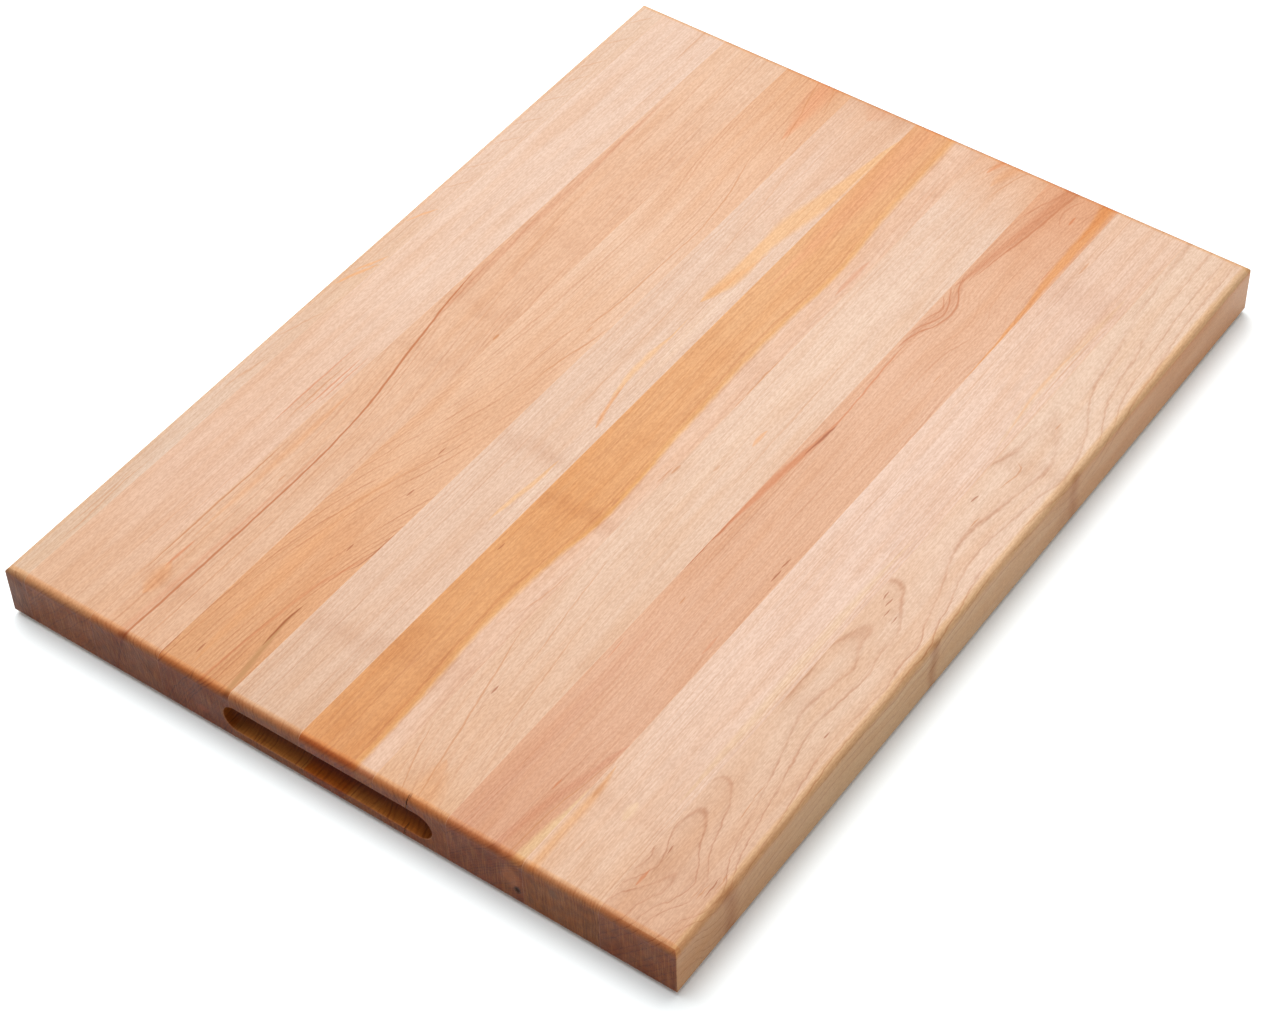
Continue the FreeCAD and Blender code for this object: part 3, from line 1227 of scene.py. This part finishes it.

# %% [markdown]
# ## Stave 2
# A quiet stave with close, straight lines. Noise alone would do for it, but two warm streaks at
# the near end are listed, because on a plain stave they are the first thing seen.

# %% Stave 2: plain and pale, with straight close lines
stave_finish(
    2, [(-305, (237, 198, 168)), (-190, (240, 206, 183)), (0, (243, 212, 193)), (150, (242, 210, 189)),
        (215, (238, 203, 181)), (305, (239, 205, 181))],
    end=(160, 106, 34), ring=1.7, line=0.42, curl=0.3, sway=0.9, pith=(220.0, -60.0),
    zones=[
        ([(-306, -137, 5), (-275, -136, 5), (-245, -136, 4), (-225, -134, 0)], HONEY, 0.55, 1.0),
        ([(-230, -176, 0), (-150, -176, 5), (-60, -176, 4), (0, -178, 0)], STRAW, 0.4, 1.0),
        ([(80, -180, 0), (140, -176, 4), (200, -178, 4), (240, -180, 0)], STRAW, 0.3, 1.0),
    ],
    bands=[(-246, 9, SHADE, 0.09), (222, 20, SHADE, 0.11)],
    stains=[(-151, 28, 4, 5, oiled(96, 60, 36), 0.6)],
    strokes=[
        dash((-250, -136), (-243, -135.6), (-235, -135.5), 2, BROWN, 0.55),
        dash((-254, -158), (-246, -158), (-238, -158), 5, STRAW, 0.35, 1.0),
        dash((92, -180), (142, -175.4), (200, -180), 1.4, ORANGE, 0.28, 1.0),
        dash((111, -183), (160, -180), (222, -185), 0.6, BROWN, 0.35, 1.0),
        fleck(245, -144.6, 1.3, 7, BROWN, 0.5), fleck(-278, -149.6, 0.7, 6, BROWN, 0.5),
    ])

# %% [markdown]
# ## Stave 3
# Pink heartwood with a red-brown band along one edge, mineral lines, and a leaf-shaped swirl near
# the far end, where a branch once bent the fibres. Rings would make a swirl only round a real
# knot, so it is drawn as a few nested strokes. The stains round the small knot are on its end.

# %% Stave 3: pink heartwood with a red-brown band
stave_finish(
    3, [(-305, (223, 168, 133)), (-190, (230, 181, 149)), (0, (231, 183, 150)), (100, (235, 190, 160)),
        (200, (234, 187, 155)), (305, (228, 170, 132))],
    ring=2.1, line=0.42, pith=(-160.0, -110.0), sway=2.0, ripple=0.6, curl=0.35,
    guide=[(-305, 2), (-240, -2), (-190, -5), (-100, 0), (0, 1), (80, 2), (130, 1), (167, -6), (190, 1),
           (305, -14)],
    zones=[
        ([(-306, -113, 4), (-270, -118, 5), (-240, -125, 4.5), (-205, -133, 0)], ROSE, 0.75, 1.0),
        ([(-306, -128.5, 6), (-285, -129.5, 5), (-262, -132, 3.5), (-225, -134, 0)], STRAW, 0.85, 0.9),
        ([(-306, -93, 7), (-200, -94, 7), (-120, -94, 0)], ROSE, 0.3, 1.0),
        ([(122, -88, 0), (148, -91, 5), (170, -94, 5.5), (198, -89, 0)], RED_BROWN, 0.3, 1.0),
        ([(186, -88, 0), (205, -91, 4), (240, -96, 6), (275, -100, 7), (306, -103, 7)],
         RED_BROWN, 0.42, 1.0),
        ([(118, -134.6, 0), (176, -134, 1.8), (202, -133.4, 2.8), (222, -132.2, 4), (253, -131.5, 5),
          (280, -131.2, 5.8), (306, -128.6, 8)], ORANGE, 0.75, 0.7),
        ([(262, -130, 0), (290, -130, 5), (306, -129, 7.5)], oiled(222, 138, 70), 0.5, 1.0),
    ],
    stains=[(-124, 21, 9, 11, oiled(190, 112, 66), 0.35), (-127.5, 13, 3.2, 4.2, oiled(60, 26, 12), 0.95),
            (-113, 36, 6, 3, oiled(130, 70, 38), 0.4), (-132, 19, 1.2, 6, oiled(206, 140, 96), 0.6)],
    strokes=[
        ([(-98, -84.6, 0), (-65, -85, 1), (-30, -86.5, 2.6), (5, -88.5, 3.6), (38, -91.5, 2), (60, -92, 0.8),
          (95, -91, 0.9), (133, -90, 0)], RED_BROWN, 0.62, 0.8),
        dash((-98, -84.6), (-70, -84.9), (-40, -86), 0.7, DARK_BROWN, 0.5),
        dash((16, -90.6), (38, -92), (50, -93.2), 1.2, oiled(160, 92, 60), 0.8),
        ([(124, -87.5, 0), (136, -90, 0.8), (145, -93.5, 1), (150, -96.5, 1), (158, -98.6, 1.2),
          (170, -99, 1.2), (178, -96.5, 1), (186, -92, 0.9), (198, -88, 0)], SWIRL, 0.75, 0.9),
        ([(136, -87.5, 0), (146, -90, 0.8), (154, -94, 1), (163, -96, 1), (172, -93.5, 0.9),
          (180, -89.5, 0.8), (186, -87, 0)], SWIRL, 0.7, 0.9),
        ([(150, -87.5, 0), (158, -90.5, 0.8), (166, -92.5, 0.9), (172, -89.5, 0.8), (176, -87, 0)],
         SWIRL, 0.6, 0.9),
        ([(192, -92, 0), (240, -99.5, 1), (280, -104.5, 1.3), (306, -107, 1.4)], SWIRL, 0.75, 0.9),
        ([(262, -89, 0), (275, -92, 1), (290, -98, 1.2), (306, -101, 1.2)], SWIRL, 0.5, 0.9),
        ([(268, -114, 0), (280, -109, 1), (292, -111, 1), (300, -116, 0)], SWIRL, 0.45, 0.9),
        fleck(-68, -129.5, 0.8, 6), fleck(-57, -129.2, 0.7, 5), fleck(-253, -115.5, 0.8, 5, RED_BROWN),
        fleck(-112, -97, 0.7, 4, BROWN), fleck(-160, -86.4, 0.6, 10, RED_BROWN, 0.6),
        fleck(114, -121.6, 0.7, 5, BROWN), fleck(278, -116.6, 1.5, 5, RED_BROWN, 0.7),
        fleck(226, -128.8, 0.6, 7, RED_BROWN, 0.6), fleck(-130, -128, 1.6, 9, RED_BROWN, 0.4),
        ([(-306, -122, 0.7), (-270, -123.4, 0.7), (-240, -128, 0.6), (-212, -133, 0)], BROWN, 0.6, 0.9),
    ])

# %% [markdown]
# ## Stave 4
# Cream wood whose lines run out at an angle near both ends. The guide does this by leaving the
# stave, so that the lines cross it. Its end marks are painted shade along the crack that was cut
# above.

# %% Stave 4: cream, with grain that runs out at an angle
stave_finish(
    4, [(-305, (229, 181, 141)), (-270, (233, 192, 161)), (-100, (236, 203, 178)), (100, (239, 208, 185)),
        (240, (237, 206, 184)), (285, (235, 193, 163)), (305, (233, 185, 151))],
    ring=2.6, line=0.36, sway=1.8, ripple=0.6, pith=(200.0, -140.0),
    guide=[(-305, -26), (-255, -13), (-205, -4), (-150, 2), (-100, 5), (0, 7), (150, 8), (230, 6), (270, 2),
           (305, -10)],
    zones=[
        ([(-306, -64, 15), (-292, -62, 13), (-272, -58, 0)], ORANGE, 0.32, 1.0),
        ([(-90, -52, 0), (20, -54, 10), (140, -60, 9), (230, -62, 0)], CREAM, 0.4, 1.0),
        ([(276, -58, 0), (290, -60, 6), (306, -66, 9)], ORANGE, 0.32, 1.0),
    ],
    # Painted shade: these three marks darken the end grain along the crack, above and below the grip.
    stains=[(-56.2, 33, 0.6, 7.5, oiled(70, 32, 12), 0.75), (-57.3, 38, 0.5, 3, oiled(90, 44, 20), 0.5),
            (-52.5, 7, 0.5, 6, oiled(70, 36, 16), 0.8)],
    strokes=[
        ([(-301, -50.5, 0.6), (-275, -42, 0.7), (-253, -35.5, 0)], BROWN, 0.6, 0.9),
        ([(-301, -61, 0.6), (-255, -52, 0.8), (-205, -42, 0.7), (-171, -34, 0)], BROWN, 0.6, 0.9),
        dash((-205, -55.5), (-150, -49.5), (-108, -44.6), 0.7, BROWN, 0.5),
        dash((-280, -76), (-210, -68), (-130, -60), 0.6, BROWN, 0.35),
        dash((-30, -71), (40, -70), (100, -68), 0.7, BROWN, 0.35),
        fleck(-220.6, -50, 0.9, 4), fleck(-33, -37, 1.6, 5, BROWN, 0.6), fleck(-19, -55, 1.4, 4, BROWN, 0.4),
        dash((6, -63), (14, -62.6), (23, -63), 2.4, ORANGE, 0.5, 1.0),
        ([(286, -50, 0), (296, -52, 3.4), (306, -56, 5.5)], oiled(218, 132, 76), 0.55, 1.0),
        ([(280, -46, 0), (295, -50.5, 0.8), (306, -57, 0.9)], BROWN, 0.5, 0.9),
        ([(262, -62, 0), (286, -66, 0.8), (306, -74, 0.8)], BROWN, 0.4, 0.9),
    ])

# %% [markdown]
# ## Stave 5
# The warmest stave is honey brown, with a strip of pale sapwood along one edge. Sapwood and
# heartwood meet in a clear line, so the strip is a zone with firm edges. It lies over a slightly
# wider zone in yellow, which leaves a warm seam beside it.

# %% Stave 5: the honey stave, with a pale strip along one edge
SEAM = 3.0

sapwood = [(-306, -37, 16.5), (-238, -37, 18), (-188, -37, 20.5), (-121, -37, 17.4), (-91, -37, 13),
           (0, -38, 17.5), (100, -38, 19), (150, -38.5, 16), (217, -39, 22), (306, -39, 24.5)]
seam = [(x, y, half + SEAM) for x, y, half in sapwood]
stave_finish(
    5, [(-305, (224, 157, 97)), (-190, (229, 168, 111)), (-90, (229, 166, 107)), (0, (232, 174, 121)),
        (100, (235, 181, 131)), (305, (233, 177, 129))],
    arris=(200, 120, 40), ring=2.7, line=0.42, line_tint=DEEP_LINE, sway=1.8, ripple=0.8, curl=0.4,
    pith=(-190.0, -90.0),
    guide=[(-305, 0), (-238, 1.7), (-188, 4), (-121, 1), (-91, -3), (0, 0), (100, 1.6), (150, -2), (217, 3),
           (305, 6)],
    zones=[
        (seam, oiled(240, 188, 112), 0.6, 0.35),
        (sapwood, oiled(237, 200, 176), 0.92, 0.22),
        ([(120, 4, 0), (210, 2, 12), (306, 0, 14)], SALMON, 0.4, 1.0),
    ],
    bands=[(-91, 12, SHADE, 0.23), (-222, 26, SHADE, 0.14), (60, 20, SHADE, 0.09)],
    strokes=[
        fleck(-136.5, 10.4, 0.9, 4), fleck(-73, -22.6, 1.6, 5, BROWN, 0.8), fleck(-40, -34.6, 0.6, 9, BROWN),
        dash((-174, -27), (-150, -31.5), (-130, -34), 0.7, BROWN, 0.45),
        dash((15, -35.5), (48, -35.8), (82, -36), 0.8, BROWN, 0.7),
        dash((138, -33), (158, -33), (178, -33.5), 2.8, RED_BROWN, 0.4, 1.0),
        dash((-290, 2), (-210, -3), (-130, -4), 0.7, BROWN, 0.4),
        dash((-60, 7), (0, 1), (80, -2), 0.7, BROWN, 0.4),
        dash((-90, 13), (-30, 5), (60, 4), 0.7, BROWN, 0.35),
    ])

# %% [markdown]
# ## Stave 6
# Pale, wavy wood with orange lenses, where the saw only just touched the heartwood. Each lens is
# a zone that swells and closes again; the longest one reaches the far end.

# %% Stave 6: pale and wavy, with orange lenses
stave_finish(
    6, [(-305, (225, 188, 160)), (-200, (232, 197, 172)), (0, (234, 202, 179)), (150, (236, 205, 183)),
        (230, (236, 202, 179)), (305, (232, 192, 163))],
    ring=2.0, line=0.4, sway=2.4, ripple=0.7, curl=0.4, pith=(210.0, -110.0),
    zones=[
        dash((-120, 22), (-80, 19), (-40, 18), 3.4, CREAM, 0.5, 1.0),
        ([(0, 22, 0), (40, 21, 4.5), (90, 22, 4.5), (120, 18, 0)], CREAM, 0.6, 1.0),
        ([(-126, 27.6, 0), (-100, 25.4, 2.6), (-84, 24, 2.4), (-64, 22.6, 0)], YELLOW, 0.75, 0.8),
        ([(-33, 20.5, 0), (-26, 22.6, 2.6), (-16, 25.4, 2.2), (0, 27.8, 1.2), (12, 29, 0)],
         ORANGE, 0.7, 1.0),
        ([(-10, 28, 0), (10, 29.8, 3), (34, 30, 3.6), (50, 29, 1.6), (78, 28.4, 0)], YELLOW, 0.7, 0.9),
        ([(88, 31.5, 0), (97, 30, 4), (116, 27, 7), (150, 27.4, 6.4), (178, 25, 9.4), (200, 21.6, 9),
          (230, 17, 6.6), (268, 12.4, 2.4), (282, 11, 0)], YELLOW, 0.8, 0.6),
        ([(92, 31, 0), (112, 27, 3.6), (130, 24, 2.5), (150, 22, 0)], ORANGE, 0.3, 1.0),
        ([(286, 40, 0), (298, 36, 16), (306, 34, 22)], SALMON, 0.25, 1.0),
    ],
    bands=[(-236, 14, SHADE, 0.16), (-66, 13, SHADE, 0.16), (300, 14, SHADE, 0.14)],
    strokes=[
        dash((120, 44), (170, 49), (230, 54), 0.7, BROWN, 0.3),
        dash((20, 42), (60, 41.5), (110, 46), 0.7, BROWN, 0.35),
        dash((-30, 41), (0, 40), (24, 40.6), 0.6, BROWN, 0.3),
    ])

# %% [markdown]
# ## Stave 7
# An orange flame that sweeps across the stave. The guide falls by five centimetres over its
# length, so the year lines cross it in a long bow, and loose strokes follow the same sweep.

# %% Stave 7: an orange flame that sweeps down to a bow
stave_finish(
    7, [(-305, (223, 167, 119)), (-190, (229, 174, 130)), (-100, (233, 187, 151)), (0, (235, 193, 161)),
        (100, (238, 202, 175)), (200, (236, 193, 161)), (305, (231, 181, 142))],
    end=(148, 91, 30), line_along=[(-305, 1.5), (-150, 1.4), (-60, 1.0), (305, 0.9)],
    ring=2.3, line=0.5, line_tint=DEEP_LINE, pith=(-230.0, -60.0), sway=1.6, curl=0.3,
    guide=[(-305, 6), (-246, 3), (-195, -4), (-150, -15), (-110, -27), (-70, -38), (-40, -45), (0, -50),
           (60, -53), (117, -54), (167, -52), (197, -48), (305, -40)],
    zones=[
        ([(240, 74, 0), (262, 76, 8), (285, 78, 13), (306, 80, 16)], SALMON, 0.6, 1.0),
        ([(-300, 96, 0), (-240, 98, 8), (-180, 98, 9), (-120, 92, 0)], ORANGE, 0.25, 1.0),
    ],
    stains=[(67, 34.5, 6, 4, oiled(110, 58, 34), 0.6), (92, 35.5, 0.7, 4, oiled(110, 58, 28), 0.5),
            (87, 13, 6, 4, oiled(150, 62, 22), 0.45), (78, 12, 6, 10, oiled(112, 56, 34), 0.4)],
    strokes=[
        ([(-306, 67.5, 1.8), (-286, 69.6, 3), (-266, 71.8, 2.8), (-250, 73.2, 1.7), (-230, 72.6, 0)],
         GREY_BROWN, 0.85, 0.9),
        dash((-268, 73.0), (-248, 73.6), (-232, 72.8), 1.2, DARK_BROWN, 0.85),
        ([(-306, 86, 1.4), (-257, 81.7, 1.6), (-232, 78.4, 2), (-213, 75, 2.2), (-196, 69.5, 1.6),
          (-181, 65, 0)], RED_BROWN, 0.38, 1.0),
        ([(-200, 69.4, 0), (-190, 66.4, 0.7), (-172, 65.2, 0.6), (-158, 64.8, 0)], DARK_BROWN, 0.6, 0.9),
        ([(-306, 115.2, 0.6), (-296, 115.3, 0.8), (-282, 115.4, 0)], DARK_BROWN, 0.6, 0.9),
        ([(-246, 113.6, 0), (-188, 105, 0.8), (-138, 93.6, 0.9), (-88, 78.6, 0)], BROWN, 0.5, 0.9),
        fleck(-97, 83, 0.8, 4.5), fleck(-133, 78, 0.9, 4), fleck(-185, 79, 0.8, 4),
        fleck(-287, 99.4, 0.9, 5), fleck(-207, 88.4, 0.5, 4, BROWN), fleck(32, 72.6, 0.9, 4, BROWN, 0.5),
        dash((-30, 85.4), (10, 83.4), (40, 77), 0.6, BROWN, 0.5),
        ([(-30, 75.3, 0), (0, 71.2, 0.7), (20, 66.8, 0.8), (43, 63, 0)], BROWN, 0.65, 0.9),
        ([(28, 77, 0), (48, 72.7, 0.8), (99, 70, 0.8), (151, 68.8, 0.8), (190, 75.3, 0.8), (222, 84, 0)],
         BROWN, 0.6, 0.9),
        ([(225, 68, 0), (262, 77, 0.8), (306, 88, 0.8)], BROWN, 0.55, 0.9),
        ([(270, 64, 0), (290, 70, 0.8), (306, 76, 0.8)], BROWN, 0.5, 0.9),
    ])

# %% [markdown]
# ## Stave 8
# Peach coloured, and crossed by one long dark line, which is a mineral streak that follows a
# year. The line is a stroke with a soft shadow beside it, as the real one has on one side.

# %% Stave 8: peach, crossed by one long dark line
stave_finish(
    8, [(-305, (229, 184, 150)), (-190, (230, 189, 158)), (0, (232, 189, 157)), (100, (232, 187, 154)),
        (200, (234, 194, 165)), (305, (234, 197, 169))],
    end=(148, 92, 30), ring=2.1, line=0.5, sway=1.2, curl=0.35, pith=(180.0, -130.0),
    guide=[(-305, 2), (-238, 0.6), (-163, -0.4), (-121, 0.6), (-88, 4), (-55, 9.8), (-21, 15.6), (0, 19),
           (38, 22), (150, 28), (305, 34)],
    zones=[
        dash((-276, 152), (-262, 153), (-248, 154), 9, ORANGE, 0.4, 1.0),
        dash((-230, 157), (-150, 156), (-90, 156), 4.5, ORANGE, 0.28, 1.0),
        ([(-20, 153, 0), (20, 157, 3.6), (80, 157.5, 4.5), (160, 157, 4), (240, 158, 0)],
         RED_BROWN, 0.25, 1.0),
    ],
    bands=[(-39, 13, SHADE, 0.10), (11, 11, SHADE, 0.10), (88, 11, SHADE, 0.08), (-262, 13, SHADE, 0.11)],
    stains=[(141, 36, 5, 3.4, oiled(124, 66, 34), 0.55), (150, 24, 8, 5, oiled(96, 56, 36), 0.3)],
    strokes=[
        ([(-266, 163.3, 0), (-220, 162.8, 1), (-180, 162.2, 0.9), (-138, 161.6, 0)],
         oiled(190, 122, 72), 0.75, 0.9),
        dash((-254, 154.8), (-241, 154.5), (-228, 154.2), 1.5, RED_BROWN, 0.65),
        ([(-306, 143.2, 3.6), (-238, 141.6, 3), (-163, 140, 2), (-121, 140, 0)], RED_BROWN, 0.3, 1.0),
        ([(-306, 140.4, 1.2), (-238, 138.6, 1.2), (-163, 137.6, 1), (-121, 138.6, 0.9), (-88, 142, 1.1),
          (-55, 147.8, 1.2), (-21, 153.6, 1.2), (0, 157, 1), (40, 161.5, 0)], oiled(184, 110, 64), 0.9, 0.8),
        ([(-306, 130, 0.5), (-230, 128, 0.6), (-150, 128.6, 0)], BROWN, 0.4, 0.9),
        dash((-40, 126), (0, 131), (40, 137), 0.6, BROWN, 0.4),
        dash((30, 140), (80, 145), (140, 149), 0.6, BROWN, 0.35),
        fleck(-5, 114.6, 1.6, 3.6, BROWN, 0.85), fleck(-165, 145.6, 0.5, 4, BROWN),
    ])

# %% [markdown]
# ## Stave 9
# The plainest stave. A few fine lines side by side, between the near end and the middle, are all
# that it needs: a plain neighbour lets the others show.

# %% Stave 9: the plainest stave
stave_finish(
    9, [(-305, (227, 184, 151)), (-190, (231, 192, 166)), (-90, (232, 196, 171)), (0, (235, 203, 181)),
        (305, (235, 205, 185))],
    arris=(255, 250, 240), ring=2.4, line=0.14, sway=1.6, curl=0.15, pith=(-200.0, -90.0),
    strokes=[
        dash((-136, 178.8), (-95, 178.6), (-55, 178.2), 0.9, RED_BROWN, 0.6),
        dash((-130, 174), (-100, 174), (-72, 173.6), 0.7, BROWN, 0.7),
        dash((-120, 170.8), (-92, 170.4), (-62, 170.2), 0.9, RED_BROWN, 0.65),
        dash((-110, 167.4), (-84, 167.2), (-58, 167), 0.7, RED_BROWN, 0.6),
        dash((-280, 178.6), (-240, 177.6), (-180, 176.6), 0.6, BROWN, 0.35),
        dash((-280, 170.6), (-210, 169.8), (-140, 169.2), 0.5, BROWN, 0.28),
        ([(266, 176, 0), (285, 176, 0.7), (306, 176, 0.4)], BROWN, 0.45, 0.9),
        dash((180, 170), (240, 169), (300, 168.4), 0.6, BROWN, 0.25),
    ])

# %% [markdown]
# ## Stave 10
# What the saw left of the last stave is narrow and trimmed. Short slanting marks cross it, like
# the teeth of a comb, where curl in the grain meets the surface. They repeat, so most of them
# come from a loop.

# %% Stave 10: the narrow trimmed stave on the far side
TEETH = (90, 112, 140, 163, 190, 214, 233, 262, 288)

combed = [dash((x - 10, 225), (x, 218), (x + 10, 211), 1.2, BROWN, 0.32, 1.0) for x in TEETH]
stave_finish(
    10, [(-305, (226, 194, 166)), (-190, (228, 200, 178)), (-90, (230, 199, 176)), (-10, (229, 193, 164)),
         (80, (233, 201, 179)), (305, (234, 207, 187))],
    end=(142, 82, 24), arris=(255, 250, 240), ring=2.0, line=0.35, sway=2.2, ripple=1.0, curl=0.3,
    pith=(120.0, -100.0),
    strokes=[
        ([(-277, 217, 0), (-252, 216.2, 0.6), (-225, 217.4, 0.7), (-188, 216, 0)], BROWN, 0.5, 0.9),
        dash((-262, 219.6), (-235, 219.2), (-205, 220), 0.6, BROWN, 0.45),
        dash((-130, 222), (-112, 219), (-92, 215), 1.2, BROWN, 0.4, 1.0),
        dash((-80, 223), (-64, 218.5), (-46, 213), 1.2, BROWN, 0.4, 1.0),
        dash((-24, 224), (-10, 219), (6, 211.5), 2.2, ORANGE, 0.6, 1.0),
        dash((-9, 222), (3, 217), (15, 211.5), 1.8, ORANGE, 0.6, 1.0),
        dash((45, 224), (55, 219.5), (66, 213), 1.8, ORANGE, 0.55, 1.0),
        *combed,
    ])

# %% [markdown]
# ## Dressing the staves
# Each stave takes its own material, named by its number, and the place of its own CAD node. The
# board is one rigid body, so every piece rides the root.

# %% Finish the staves and seat them in the frame
for number, piece in staves.items():
    piece.data.materials.clear()
    piece.data.materials.append(maple("maple_%02d" % number, finishes[number]))
    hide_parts("stave_%02d" % number)
    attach(piece, "root")
print("%d staves seated" % len(staves))

# %% [markdown]
# ## The glue
# Each joint holds a film of cured glue, scraped flush and sanded with the wood. It is a clear
# amber that takes the colour of the wood beside it, so on a good joint it is barely a line. A clear
# shader would show the same and be slower, so the glue is a plain amber, smeared a little, which
# darkens at the ends and in the cove as the wood does.

# %% Make the glue
SMEAR_SIZE = (14, 4, 3)
SMEAR_SEED = 5
SMEAR_DETAIL = 3.0
SMEAR_RANGE = (0.3, 0.7)
GLUE_PALE = oiled(230, 184, 146)
GLUE_DEEP = oiled(220, 168, 126)
GLUE_END = colour(160, 94, 34)
GLUE_GLOSS = (0.32, 0.46)


def cured_glue():
    """Amber glue that follows the wood into the ends and the cove."""
    made = bpy.data.materials.new("cured_glue")
    made.use_nodes = True
    tree = made.node_tree
    shader = tree.nodes["Principled BSDF"]
    where = board_place(tree)
    smear = grain_noise(tree, where["place"], SMEAR_SIZE, SMEAR_SEED, SMEAR_DETAIL)
    amber = mix(tree, fade(tree, smear, *SMEAR_RANGE), GLUE_PALE, GLUE_DEEP)
    routed = routed_cover(tree, where)
    amber = darken(tree, end_cover(tree, where, routed), amber, GLUE_END)
    amber = darken(tree, routed, amber, cove_tint_and_shade(tree, where))
    feed(tree, shader.inputs["Base Color"], amber)
    feed(tree, shader.inputs["Roughness"], fade(tree, smear, *SMEAR_RANGE, *GLUE_GLOSS))
    return made


glue = cured_glue()
print("glue ready")

# %% Seat the films
for number, piece in films.items():
    piece.data.materials.clear()
    piece.data.materials.append(glue)
    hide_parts("glue_line_%02d" % number)
    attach(piece, "root")
print("%d films seated" % len(films))
